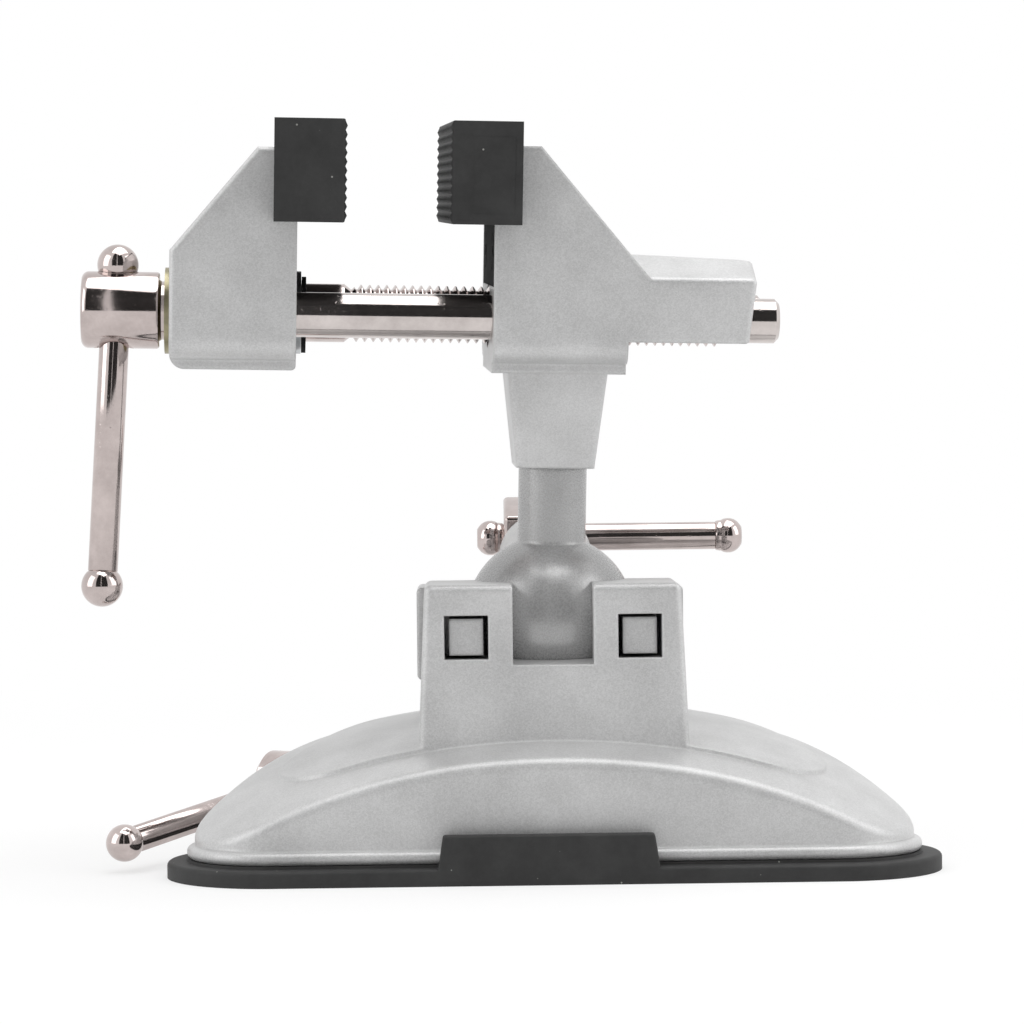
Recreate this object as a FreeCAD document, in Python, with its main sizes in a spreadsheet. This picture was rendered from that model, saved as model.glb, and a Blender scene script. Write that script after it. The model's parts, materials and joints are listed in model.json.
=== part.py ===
import FreeCAD, Part
import math
import os
import re
import Sketcher

# Suction base vise: a domed casting on a rubber suction cup, a ball clamp, and a head with
# a fixed and a sliding jaw. The frame's origin is the middle of the base on the table,
# +X is the way the fixed jaw lies, +Z is up, and the front with the ball's notch is -Y.
# All lengths are in millimetres and all angles in degrees.

os.makedirs("parts", exist_ok=True)
doc = FreeCAD.newDocument("suction_base_vise")

# Driving dimensions, one row of the sheet each
SIZES = (
    ("running_fit", 0.05, "radial clearance of a shaft that turns or slides"),
    ("loose_fit", 0.3, "clearance round a piece that moves freely"),
    ("soft_fit", 0.2, "clearance round a soft piece"),
    ("overrun", 2, "how far a cut passes the face it opens"),

    ("base_corner_reach", 64.7, "middle of the base to the centre of each corner's arc"),
    ("rim_corner_radius", 18, "corner radius of the casting's rim"),
    ("rim_bottom", 3.8, "table to the casting's rim"),
    ("rim_top", 6.4, "table to the top of the rim bead"),
    ("rim_round", 1.2, "rounding of the rim bead"),
    ("wall_inset", 1.6, "step from the rim bead to the wall above it"),
    ("arch_round", 2.4, "rounding where the wall meets the dome"),
    ("shell_wall", 3.3, "wall thickness of the base casting"),
    ("dome_height", 29.7, "table to the flat top of the dome"),
    ("dome_flat_radius", 12, "radius of the dome's flat middle"),
    ("dome_edge_height", 7, "table to the dome's curve, over the outermost point of a corner"),
    ("plateau_corner_reach", 48.5, "middle to the corner centres of the raised plateau"),
    ("plateau_corner_radius", 13.75, "corner radius of the raised plateau"),
    ("plateau_rise", 0.8, "how far the plateau stands over the dome"),

    ("cup_corner_radius", 22, "corner radius of the rubber flange"),
    ("cup_edge_height", 3.3, "thickness of the rubber flange outside the casting"),
    ("cup_edge_round", 1.2, "rounding of the flange's upper edge"),
    ("cup_disc_radius", 36, "radius of the raised middle of the cup"),
    ("cup_recess_radius", 34, "outer radius of the hollow under the cup"),
    ("cup_centre_radius", 12, "radius of the flat spot in the middle of that hollow"),
    ("cup_recess_depth", 0.8, "depth of the hollow under the cup"),
    ("lug_bottom_width", 44.3, "width of the release lug at the table"),
    ("lug_top_width", 41.5, "width of the release lug at its top"),
    ("lug_height", 9.9, "table to the top of the release lug"),
    ("lug_offset", 1.7, "how far the release lug stands left of the middle"),
    ("lug_thickness", 3, "thickness of the release lug"),
    ("plate_radius", 30, "radius of the steel disc in the cup"),
    ("plate_thickness", 1.5, "thickness of the steel disc in the cup"),

    ("cam_axis_height", 12, "table to the axis of the suction cam"),
    ("cam_axis_bearing", 150, "direction of the cam axis from +X, towards the lever"),
    ("cam_shaft_radius", 5, "radius of the cam shaft"),
    ("cam_radius", 3.5, "radius of the eccentric"),
    ("cam_throw", 1.4, "offset of the eccentric"),
    ("cam_half_length", 5.5, "half the length of the eccentric"),
    ("trunnion_radius", 2, "radius of the shaft's inner end"),
    ("trunnion_length", 9.5, "length of the shaft's inner end"),
    ("clip_thickness", 0.8, "thickness of the ring on the inner end"),
    ("clip_radius", 4, "outer radius of the ring on the inner end"),
    ("clip_groove_depth", 0.5, "depth of the ring's groove"),
    ("cam_lug_thickness", 6, "thickness of the lug that carries the inner end"),
    ("cam_lug_half_width", 7, "half the width of that lug"),
    ("cam_lug_drop", 3.6, "how far that lug reaches below the axis"),
    ("wall_boss_length", 8, "length of the boss that carries the shaft in the wall"),
    ("wall_boss_half_width", 9, "half the width of that boss"),
    ("lever_head_start", 55, "middle of the base to the near face of the lever head"),
    ("lever_head_length", 15.6, "length of the lever head"),
    ("lever_head_radius", 7, "radius of the lever head"),
    ("lever_drop", 5.2, "how far the lever's long end points down"),
    ("suction_bar_radius", 2.75, "radius of the suction lever's bar"),
    ("suction_ball_radius", 3.8, "radius of that bar's ball ends"),
    ("suction_bar_long", 66, "lever axis to the far ball"),
    ("suction_bar_short", 8.8, "lever axis to the seated ball"),
    ("lever_head_chamfer", 1.2, "chamfer on the lever head"),
    ("yoke_half_thickness", 4.5, "half the yoke's length along the cam"),
    ("yoke_half_width", 8, "half the yoke's width"),
    ("yoke_web", 1.5, "web under the yoke's slot"),
    ("stud_collar", 1.4, "collar between the disc and the yoke"),
    ("yoke_crown", 2.5, "web over the yoke's slot"),
    ("yoke_slack", 0.4, "room over and under the eccentric in the slot"),
    ("stud_shank_radius", 3, "radius of the stud's riveted shank"),
    ("stud_head_radius", 5, "radius of the stud's rivet head"),
    ("stud_head_thickness", 1.2, "thickness of the stud's rivet head"),

    ("ball_forward", 15, "middle of the base forward to the ball's centre"),
    ("ball_height", 50, "table to the ball's centre"),
    ("ball_radius", 17.5, "radius of the ball"),
    ("head_roll", 1.5, "how far the head leans to the right"),
    ("head_pitch", 3.7, "how far the head leans forward"),
    ("head_yaw", 2.9, "how far the head is turned about its stem"),
    ("neck_radius", 7, "radius of the neck over the ball"),
    ("neck_top", 31.7, "ball's centre to the shoulder under the head"),
    ("spigot_radius", 6, "radius of the spigot inside the head"),
    ("spigot_length", 12.3, "length of the spigot"),
    ("spigot_groove_depth", 0.9, "depth of the groove for the lock screw"),
    ("spigot_groove_width", 3.2, "width of that groove"),
    ("spigot_chamfer", 0.8, "chamfer on the spigot's end"),
    ("lock_screw_radius", 2.5, "radius of the lock screw"),
    ("lock_screw_tip_radius", 1.5, "radius of the lock screw's tip"),
    ("lock_screw_sink", 0.4, "how far the lock screw lies under the surface"),
    ("lock_socket_radius", 1.3, "radius of the lock screw's key hole"),
    ("lock_socket_depth", 1.2, "depth of the lock screw's key hole"),

    ("block_top_width", 51.4, "width of the front clamp block at its top"),
    ("block_foot_width", 54.6, "width of the front clamp block at its foot"),
    ("block_front", 38, "middle of the base forward to the block's face"),
    ("block_top", 58.2, "table to the top of the block"),
    ("block_round", 1.4, "rounding of the block's edges"),
    ("jaw_parting", 0.9, "gap between the block and the clamp jaw"),
    ("notch_half_width", 8.1, "half the width of the notch for the neck"),
    ("notch_floor_front", 41.9, "table to the notch's floor at the front"),
    ("notch_floor_back", 43.9, "table to the notch's floor at the ball"),
    ("peg_spacing", 34.8, "distance between the two square pegs"),
    ("peg_height", 47.65, "table to the middle of the pegs"),
    ("peg_width", 6.8, "width of a peg"),
    ("peg_depth", 7.3, "height of a peg"),
    ("peg_hole", 8.8, "side of the square hole for a peg"),
    ("peg_setback", 2, "block's face back to the end of a peg"),
    ("clamp_jaw_width", 55, "width of the clamp jaw"),
    ("clamp_jaw_depth", 19.4, "depth of the clamp jaw"),
    ("clamp_jaw_bottom", 37.6, "table to the underside of the clamp jaw"),
    ("clamp_jaw_top", 56.7, "table to the top of the clamp jaw"),
    ("clamp_jaw_round", 1.2, "rounding of the clamp jaw's edges"),
    ("clamp_pad_radius", 5.5, "radius of the jaw's boss under the screw"),
    ("clamp_pad_end", 22, "ball's centre to the face the screw presses"),
    ("clamp_rise", 19, "how far the clamp screw points up to the back"),
    ("clamp_screw_radius", 5, "radius of the clamp screw's thread"),
    ("clamp_boss_radius", 10, "radius of the boss that carries the clamp screw"),
    ("clamp_boss_start", 24, "ball's centre to the near face of the boss"),
    ("clamp_boss_end", 36, "ball's centre to the far face of the boss"),
    ("clamp_web_half_width", 10, "half the width of the web under the boss"),
    ("clamp_web_front", 9.5, "middle of the base back to the web's front"),
    ("clamp_web_foot", 31, "middle of the base back to the web's foot"),
    ("clamp_web_sink", 7, "how deep the web and the block start in the dome"),
    ("clamp_collar_start", 40.5, "ball's centre to the clamp screw's head"),
    ("clamp_head_length", 13.6, "length of the clamp screw's head"),
    ("clamp_head_half_width", 8.8, "half the width of the clamp screw's block head, along its bar"),
    ("clamp_head_half_height", 7.3, "half the height of that head"),
    ("clamp_head_round", 1, "rounding of that head's edges"),
    ("clamp_bar_radius", 3, "radius of the clamp screw's bar"),
    ("clamp_bar_left", 14.6, "clamp axis to the bar's short end"),
    ("clamp_bar_right", 43.2, "clamp axis to the bar's long end"),
    ("cap_radius", 3.8, "radius of the bar's caps"),
    ("cap_length", 5.7, "length of the bar's caps"),
    ("cap_spigot_radius", 2, "radius of the bar's end inside a cap"),
    ("cap_barrel_rise", 0.6, "how much a cap is thicker in its middle"),

    ("casting_half_depth", 20, "half the depth of the jaw castings"),
    ("cheek_bottom", 53.4, "ball's centre to the underside of the jaw castings"),
    ("cheek_round", 4, "rounding of the castings' lower edges"),
    ("band_drop", 2.1, "how far the middle band stands below the castings"),
    ("band_half_depth", 15, "half the depth of the middle band"),
    ("band_end_round", 3, "rounding of the moving jaw's band at its outer end"),
    ("flare_foot_half_width", 8, "half the width of the flare at the neck"),
    ("flare_top_half_width", 10.2, "half the width of the flare at its top"),
    ("flare_corner", 1.5, "corner radius of the flare"),
    ("screw_height", 62.4, "ball's centre to the lead screw's axis"),
    ("rod_spacing", 26, "distance between the two guide rods"),
    ("rod_radius", 4.5, "radius of the guide rods"),
    ("rod_chamfer", 0.8, "chamfer on the guide rods' ends"),

    ("fixed_face", 13.8, "ball's axis left to the fixed casting's face"),
    ("fixed_top", 96.6, "ball's centre to the top of the fixed casting"),
    ("fixed_top_length", 9, "length of the fixed casting's flat top"),
    ("fixed_slope_end", 19.5, "ball's axis right to the end of the slope"),
    ("fixed_slope_foot", 68.3, "ball's centre to the end of the slope"),
    ("fixed_cheek_end", 13.2, "ball's axis right to the cheek's lower end"),
    ("tunnel_bottom", 58, "ball's centre to the tunnel's underside"),
    ("tunnel_end_top", 39.3, "ball's axis right to the tunnel's end, above"),
    ("tunnel_end_bottom", 37.5, "ball's axis right to the tunnel's end, below"),
    ("tunnel_ridge", 75.7, "ball's centre to the tunnel's ridge at the jaw"),
    ("tunnel_ridge_fall", 1.4, "how far the ridge falls to its end"),
    ("tunnel_ridge_half_depth", 5, "half the depth of the tunnel's flat ridge"),
    ("tunnel_shoulder_drop", 4.9, "from the tunnel's ridge down to its shoulder"),
    ("edge_round", 1, "rounding of the jaw castings' outer edges"),

    ("moving_face", 53, "ball's axis left to the moving casting's face"),
    ("moving_back", 78.2, "ball's axis left to the moving casting's back"),
    ("moving_top", 95.6, "ball's centre to the top of the moving casting"),
    ("moving_top_length", 8, "length of the moving casting's flat top"),
    ("moving_slope_foot", 75, "ball's centre to the foot of the moving slope"),
    ("rod_right_end", 44, "ball's axis right to the rods' ends"),
    ("rod_seat_end", 76.2, "ball's axis left to the rods' ends in the moving jaw"),
    ("pin_radius", 1.5, "radius of the pins through the rods"),
    ("pin_position", 68, "ball's axis left to the pins"),
    ("pin_above", 5.6, "how far a pin stands over the rod's axis"),

    ("plate_half_width", 28, "half the width of a jaw plate"),
    ("plate_bottom", 83, "ball's centre to the lower edge of a jaw plate"),
    ("plate_top", 99.5, "ball's centre to the upper edge of a jaw plate"),
    ("plate_proud", 4, "how far a jaw plate stands before the casting"),
    ("tongue_half_width", 18, "half the width of the plate's inset tongue"),
    ("tongue_bottom", 68.6, "ball's centre to the lower edge of the tongue"),
    ("tongue_top", 95, "ball's centre to the upper edge of the tongue"),
    ("tongue_inset", 2, "how deep the tongue lies in the casting"),
    ("plate_screw_spacing", 22, "distance between a plate's two screws"),
    ("plate_screw_rise", 7, "foot of a plate's tongue to the plate screws"),
    ("plate_screw_radius", 2, "radius of a plate screw's thread"),
    ("plate_screw_head_radius", 3.7, "radius of a plate screw's head"),
    ("plate_screw_length", 9, "length of a plate screw"),
    ("plate_screw_socket_radius", 1.4, "radius of a plate screw's key hole"),
    ("plate_screw_socket_depth", 1.2, "depth of a plate screw's key hole"),

    ("pad_half_width", 30, "half the width of a soft pad"),
    ("pad_bottom", 81, "ball's centre to the lower edge of a soft pad"),
    ("pad_top", 101.2, "ball's centre to the upper edge of a soft pad"),
    ("pad_proud", 9.6, "casting's face to the pad's gripping face"),
    ("pad_wing", 4.7, "how far a pad reaches back round the casting"),
    ("pad_round", 1, "corner radius of a pad's gripping face"),

    ("screw_radius", 5.85, "radius of the lead screw's thread"),
    ("shank_radius", 5.95, "radius of the lead screw's plain shank"),
    ("screw_right_end", 34, "ball's axis right to the lead screw's end"),
    ("thread_start", 40.7, "ball's axis left to where the thread starts"),
    ("shank_end", 42.5, "ball's axis left to the end of the plain shank"),
    ("screw_end_chamfer", 1.2, "chamfer on the lead screw's end"),
    ("screw_head_start", 80.6, "ball's axis left to the screw head's face"),
    ("screw_head_length", 15.8, "length of the screw head"),
    ("screw_head_radius", 7.8, "radius of the screw head"),
    ("screw_head_chamfer", 1.5, "chamfer on the screw head"),
    ("cross_hole_position", 89.5, "ball's axis left to the jaw bar"),
    ("jaw_bar_lean", 10, "how far the jaw bar's lower end leans forward"),
    ("jaw_bar_tip", 2, "how far the jaw bar's lower end leans to the left"),
    ("jaw_bar_radius", 3, "radius of the jaw bar"),
    ("jaw_ball_radius", 4.2, "radius of the jaw bar's ball ends"),
    ("jaw_bar_long", 56.2, "lead screw's axis to the lower ball"),
    ("jaw_bar_short", 9.2, "lead screw's axis to the seated upper ball"),
    ("spigot_share", 0.6, "part of a bar's radius that its end inside a ball has"),
    ("seat_fit", 0.1, "clearance between a ball end and its seat"),
    ("nut_start", 11.5, "ball's axis left to the thread insert"),
    ("nut_length", 12, "length of the thread insert"),
    ("nut_radius", 7, "radius of the thread insert"),
    ("thrust_washer_radius", 8.75, "radius of the washer under the screw head"),
    ("thrust_washer_thickness", 1.3, "thickness of that washer"),
    ("inner_washer_radius", 8.4, "radius of the washer inside the jaws"),
    ("inner_washer_thickness", 1, "thickness of that washer"),
    ("retainer_thickness", 0.9, "thickness of the retaining clip"),
    ("retainer_radius", 7.8, "outer radius of the retaining clip"),
    ("retainer_groove_depth", 1, "depth of the clip's groove"),
    ("retainer_offset", 0.4, "how far the clip lies below the axis"),
    ("retainer_mouth", 5, "width of the clip's mouth"),
)

sheet = doc.addObject("Spreadsheet::Sheet", "Sizes")
for row, (alias, number, note) in enumerate(SIZES, start=1):
    sheet.set(f"A{row}", note)
    sheet.set(f"B{row}", str(number))
    sheet.setAlias(f"B{row}", alias)
doc.recompute()

ALIASES = {alias for alias, number, note in SIZES}
HEAD = (
    "placement(vector(0; -ball_forward; ball_height); rotation(vector(0; 1; 0); head_roll)"
    " * rotation(vector(1; 0; 0); head_pitch) * rotation(vector(0; 0; 1); head_yaw))"
)
NO_TURN = "rotation(vector(0; 0; 1); 0)"


def bound(text):
    """An expression in which every size's name points at the sheet."""
    return re.sub(r"[a-z]\w*", lambda word: "Sizes." + word[0] if word[0] in ALIASES else word[0], str(text))


def number(text):
    """The value of an expression."""
    return float(sheet.evalExpression(bound(text)))


def moved(place, x="0", y="0", z="0", turn=NO_TURN):
    """A placement, then a step and a turn in its own frame."""
    step = f"placement(vector({x}; {y}; {z}); {turn})"
    return f"{place} * {step}" if place else step


def new_body(name, place=None):
    body = doc.addObject("PartDesign::Body", name)
    if place:
        body.setExpression("Placement", bound(place))
    return body


def new_sketch(body, name, plane, offset=None):
    sketch = body.newObject("Sketcher::SketchObject", name)
    planes = {feature.Role: feature for feature in body.Origin.OriginFeatures}
    sketch.AttachmentSupport = [(planes[plane], "")]
    sketch.MapMode = "FlatFace"
    if offset:
        sketch.setExpression("AttachmentOffset.Base.z", bound(offset))
    return sketch


def fix_point(sketch, edge, end, x, y):
    """Ties an end of an edge, or a circle's centre, to a place given by two expressions."""
    for kind, axis, text in (("DistanceX", -2, x), ("DistanceY", -1, y)):
        if text == "0":
            sketch.addConstraint(Sketcher.Constraint("PointOnObject", edge, end, axis))
            continue
        index = sketch.addConstraint(Sketcher.Constraint(kind, -1, 1, edge, end, number(text)))
        sketch.setExpression(f"Constraints[{index}]", bound(text))


def draw_outline(sketch, points, arcs):
    """A closed outline. arcs gives, for the edge after a point, its radius and its turn:
    1 for an arc that turns left and -1 for one that turns right."""
    places = [FreeCAD.Vector(number(x), number(y), 0) for x, y in points]
    count = len(points)
    starts = {}
    for edge in range(count):
        start, end = places[edge], places[(edge + 1) % count]
        starts[edge] = 1
        if edge not in arcs:
            sketch.addGeometry(Part.LineSegment(start, end))
            continue
        radius, turn = number(arcs[edge][0]), arcs[edge][1]
        chord = end - start
        rise = math.sqrt(max(radius ** 2 - chord.Length ** 2 / 4, 0))
        left = FreeCAD.Vector(-chord.y, chord.x, 0).normalize()
        centre = (start + end) / 2 + left * rise * turn
        first, last = (start, end) if turn > 0 else (end, start)
        starts[edge] = 1 if turn > 0 else 2
        angles = [math.atan2(place.y - centre.y, place.x - centre.x) for place in (first, last)]
        circle = Part.Circle(centre, FreeCAD.Vector(0, 0, 1), radius)
        sketch.addGeometry(Part.ArcOfCircle(circle, angles[0], angles[1]))
    for edge in range(count):
        after = (edge + 1) % count
        sketch.addConstraint(Sketcher.Constraint("Coincident", edge, 3 - starts[edge], after, starts[after]))
    for edge, (x, y) in enumerate(points):
        fix_point(sketch, edge, starts[edge], x, y)
    for edge, (radius, turn) in arcs.items():
        index = sketch.addConstraint(Sketcher.Constraint("Radius", edge, number(radius)))
        sketch.setExpression(f"Constraints[{index}]", bound(radius))


def draw_circles(sketch, circles):
    for edge, (x, y, radius) in enumerate(circles):
        centre = FreeCAD.Vector(number(x), number(y), 0)
        sketch.addGeometry(Part.Circle(centre, FreeCAD.Vector(0, 0, 1), number(radius)))
        fix_point(sketch, edge, 3, x, y)
        index = sketch.addConstraint(Sketcher.Constraint("Radius", edge, number(radius)))
        sketch.setExpression(f"Constraints[{index}]", bound(radius))


def add_slab(body, name, plane, low, high, points=(), arcs=None, circles=(), cut=False):
    """An outline or circles on a plane, filled or cut from low to high along the plane's axis."""
    offset = f"-({high})" if plane == "XZ_Plane" else low
    sketch = new_sketch(body, name + "_outline", plane, offset)
    if points:
        draw_outline(sketch, points, arcs or {})
    else:
        draw_circles(sketch, circles)
    feature = body.newObject("PartDesign::Pocket" if cut else "PartDesign::Pad", name)
    feature.Profile = sketch
    feature.Reversed = cut
    feature.setExpression("Length", bound(f"({high}) - ({low})"))
    return feature


def add_turned(body, name, points, arcs=None, plane="XZ_Plane", axis="V_Axis", cut=False):
    """An outline turned once round the sketch's upright or level axis."""
    sketch = new_sketch(body, name + "_outline", plane)
    draw_outline(sketch, points, arcs or {})
    feature = body.newObject("PartDesign::Groove" if cut else "PartDesign::Revolution", name)
    feature.Profile = sketch
    feature.ReferenceAxis = (sketch, [axis])
    return feature


def add_primitive(body, kind, name, sizes, place):
    """A ball, cylinder or box that is added to the body or cut from it."""
    feature = body.newObject("PartDesign::" + kind, name)
    for key, text in sizes.items():
        feature.setExpression(key, bound(text))
    feature.setExpression("Placement", bound(place))
    return feature


def round_edges(body, name, radius, pick):
    """Rounds the edges of the body's last feature that pick accepts."""
    doc.recompute()
    base = body.Tip
    edges = [f"Edge{index}" for index, edge in enumerate(base.Shape.Edges, start=1) if pick(edge)]
    if not edges:
        raise RuntimeError(name + " finds no edge")
    feature = body.newObject("PartDesign::Fillet", name)
    feature.Base = (base, edges)
    feature.setExpression("Radius", bound(radius))
    doc.recompute()
    return feature


def at_place(value, text):
    """Whether a coordinate is at the place that an expression gives."""
    return abs(value - number(text)) < number("running_fit")


def is_line_along(edge, axis):
    box = edge.BoundBox
    spans = {"x": box.XLength, "y": box.YLength, "z": box.ZLength}
    return all(span < number("running_fit") for key, span in spans.items() if key != axis)


def rounded_triangle(reach, corner):
    """Points and arcs of the base's outline with the given corner centres and radius."""
    points = []
    for angle in (-150, -30, 90):
        for side in (-60, 60):
            turn = angle + side
            points.append((
                f"({reach}) * cos({angle}) + ({corner}) * cos({turn})",
                f"({reach}) * sin({angle}) + ({corner}) * sin({turn})",
            ))
    return points, {0: (corner, 1), 2: (corner, 1), 4: (corner, 1)}


def box_points(left, right, low, high):
    return [(left, low), (right, low), (right, high), (left, high)]


# Places that several pieces share
BALL = moved(None, y="-ball_forward", z="ball_height")
CLAMP = moved(BALL, turn="rotation(vector(1; 0; 0); clamp_rise - 90)")
CAM = moved(None, z="cam_axis_height", turn="rotation(vector(0; 0; 1); cam_axis_bearing)")
ACROSS = "rotation(vector(0; 1; 0); 90)"
SCREW = moved(moved(HEAD, z="screw_height"), turn="rotation(vector(1; 0; 0); -jaw_bar_lean)")
CLAMP_HOLE = "clamp_collar_start + clamp_head_length / 2"
LEVER = moved(
    CAM, x="lever_head_start + lever_head_length / 2", turn="rotation(vector(1; 0; 0); 90 - lever_drop)",
)
JAW_BAR_TURN = "rotation(vector(0; 1; 0); jaw_bar_tip)"
JAW_BAR = moved(SCREW, x="-cross_hole_position", turn=JAW_BAR_TURN)
BLOCK_BACK = "-(ball_forward + jaw_parting / 2)"
JAW_FRONT = "-(ball_forward - jaw_parting / 2)"
SOCKET = "ball_radius + running_fit"
SLOT_BOTTOM = "cam_axis_height - cam_throw - cam_radius - yoke_slack"
SLOT_TOP = "cam_axis_height - cam_throw + cam_radius + yoke_slack"
YOKE_BOTTOM = f"{SLOT_BOTTOM} - yoke_web"
DISC_TOP = f"{YOKE_BOTTOM} - stud_collar"
RIM = ("base_corner_reach", "rim_corner_radius")
DOME_REACH = "base_corner_reach + rim_corner_radius"
DOME_FALL = "(dome_height - dome_edge_height)"
DOME_RADIUS = f"((({DOME_REACH} - dome_flat_radius) ^ 2 + {DOME_FALL} ^ 2) / (2 * {DOME_FALL}))"
PLATE_SCREWS = "tongue_bottom + plate_screw_rise"
WALL = ("base_corner_reach", "rim_corner_radius - wall_inset")


def cut_to_dome(body, name, rise):
    """Cuts away what stands over the dome, which is raised or lowered by rise."""
    top = f"dome_height + ({rise})"
    reach = f"{DOME_REACH} + overrun"
    edge = f"{top} - {DOME_RADIUS} + sqrt({DOME_RADIUS} ^ 2 - ({reach} - dome_flat_radius) ^ 2)"
    above = "dome_height + 2 * overrun + plateau_rise"
    points = [("0", top), ("dome_flat_radius", top), (reach, edge), (reach, above), ("0", above)]
    return add_turned(body, name, points, {1: (DOME_RADIUS, -1)}, cut=True)


def cam_rectangle(near, far, half_width):
    """A rectangle on the table plane that lies along the cam's axis."""
    points = []
    other = f"-({half_width})"
    for along, aside in ((near, other), (near, half_width), (far, half_width), (far, other)):
        points.append((
            f"({along}) * cos(cam_axis_bearing) - ({aside}) * sin(cam_axis_bearing)",
            f"({along}) * sin(cam_axis_bearing) + ({aside}) * cos(cam_axis_bearing)",
        ))
    return points


def on_rim(edge):
    """Whether an edge runs round the outside of the rim bead."""
    corners = [
        FreeCAD.Vector(
            number(f"base_corner_reach * cos({angle})"), number(f"base_corner_reach * sin({angle})"), 0,
        )
        for angle in (-150, -30, 90, -150)
    ]
    core = Part.Face(Part.makePolygon(corners))
    middle = edge.valueAt((edge.FirstParameter + edge.LastParameter) / 2)
    middle.z = 0
    distance = core.distToShape(Part.Vertex(middle))[0]
    return edge.BoundBox.ZLength < number("running_fit") and at_place(distance, "rim_corner_radius")


def make_base_casting():
    """The domed casting with its clamp block, screw boss and cam bearings."""
    solid = new_body("casting_solid")
    skirt = "rim_bottom - arch_round - overrun"
    points, arcs = rounded_triangle(*WALL)
    add_slab(solid, "casting_wall", "XY_Plane", skirt, "dome_height + overrun", points, arcs)
    cut_to_dome(solid, "dome", "0")
    arch_top = number("dome_height - overrun")
    foot = number(skirt)
    round_edges(
        solid, "arch_edges", "arch_round",
        lambda edge: foot < edge.BoundBox.ZMin and edge.BoundBox.ZMax < arch_top,
    )
    points, arcs = rounded_triangle(*RIM)
    add_slab(solid, "skirt_cut", "XY_Plane", f"{skirt} - overrun", "rim_bottom", points, arcs, cut=True)
    add_slab(solid, "rim_bead", "XY_Plane", "rim_bottom", "rim_top", points, arcs)
    round_edges(solid, "rim_edges", "rim_round", on_rim)
    points, arcs = rounded_triangle("plateau_corner_reach", "plateau_corner_radius")
    add_slab(solid, "plateau", "XY_Plane", "rim_top", "dome_height + overrun", points, arcs)
    cut_to_dome(solid, "plateau_top", "plateau_rise")

    foot = "dome_height - clamp_web_sink"
    block = [
        ("-block_foot_width / 2", foot), ("block_foot_width / 2", foot),
        ("block_top_width / 2", "block_top"), ("-block_top_width / 2", "block_top"),
    ]
    add_slab(solid, "clamp_block", "XZ_Plane", "-block_front", BLOCK_BACK, block)
    over_dome = number("dome_height + overrun")
    back = number(BLOCK_BACK)
    round_edges(
        solid, "block_edges", "block_round",
        lambda edge: edge.BoundBox.ZMax > over_dome and edge.BoundBox.YMin < back - number("running_fit"),
    )
    notch = [
        ("-block_front - overrun", "notch_floor_front"), (BLOCK_BACK + " + overrun", "notch_floor_back"),
        (BLOCK_BACK + " + overrun", "block_top + overrun"), ("-block_front - overrun", "block_top + overrun"),
    ]
    add_slab(solid, "neck_notch", "YZ_Plane", "-notch_half_width", "notch_half_width", notch, cut=True)
    for side, name in (("-", "left"), ("", "right")):
        hole = box_points(
            f"{side}peg_spacing / 2 - peg_hole / 2", f"{side}peg_spacing / 2 + peg_hole / 2",
            "peg_height - peg_hole / 2", "peg_height + peg_hole / 2",
        )
        add_slab(
            solid, name + "_peg_hole", "XZ_Plane", "-block_front - overrun", BLOCK_BACK + " + overrun",
            hole, cut=True,
        )
    add_primitive(solid, "SubtractiveSphere", "front_socket", {"Radius": SOCKET}, BALL)

    web = [
        ("clamp_web_front", foot), ("clamp_web_foot", foot),
        (
            "-ball_forward + clamp_boss_end * cos(clamp_rise)",
            "ball_height + clamp_boss_end * sin(clamp_rise)",
        ),
        ("clamp_web_front", "ball_height"),
    ]
    add_slab(solid, "screw_web", "YZ_Plane", "-clamp_web_half_width", "clamp_web_half_width", web)
    add_primitive(
        solid, "AdditiveCylinder", "screw_boss",
        {"Radius": "clamp_boss_radius", "Height": "clamp_boss_end - clamp_boss_start"},
        moved(CLAMP, z="clamp_boss_start"),
    )
    add_primitive(
        solid, "SubtractiveCylinder", "screw_bore",
        {"Radius": "clamp_screw_radius + running_fit", "Height": "clamp_boss_end - clamp_pad_end + overrun"},
        moved(CLAMP, z="clamp_pad_end"),
    )
    add_primitive(
        solid, "SubtractiveCylinder", "shaft_bore",
        {"Radius": "cam_shaft_radius + running_fit", "Height": "base_corner_reach"},
        moved(CAM, turn=ACROSS),
    )
    inner_end = "cam_half_length + loose_fit + cam_lug_thickness + overrun"
    add_primitive(
        solid, "SubtractiveCylinder", "trunnion_bore",
        {"Radius": "trunnion_radius + running_fit", "Height": inner_end},
        moved(CAM, x=f"-({inner_end})", turn=ACROSS),
    )

    cavity = new_body("casting_cavity")
    points, arcs = rounded_triangle("base_corner_reach", "rim_corner_radius - wall_inset - shell_wall")
    add_slab(cavity, "cavity_wall", "XY_Plane", "rim_bottom - overrun", "dome_height + overrun", points, arcs)
    cut_to_dome(cavity, "cavity_ceiling", "-shell_wall")
    lug = cam_rectangle(
        "-(cam_half_length + loose_fit + cam_lug_thickness)", "-(cam_half_length + loose_fit)",
        "cam_lug_half_width",
    )
    add_slab(
        cavity, "cam_lug", "XY_Plane", "cam_axis_height - cam_lug_drop", "dome_height + overrun", lug,
        cut=True,
    )
    wall = "base_corner_reach / 2 + rim_corner_radius - wall_inset"
    boss = cam_rectangle(f"{wall} - shell_wall - wall_boss_length", wall, "wall_boss_half_width")
    add_slab(
        cavity, "wall_boss", "XY_Plane", "rim_bottom - 2 * overrun", "dome_height + overrun", boss, cut=True,
    )

    casting = doc.addObject("Part::Cut", "base_casting")
    casting.Base = solid
    casting.Tool = cavity
    return casting


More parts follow.
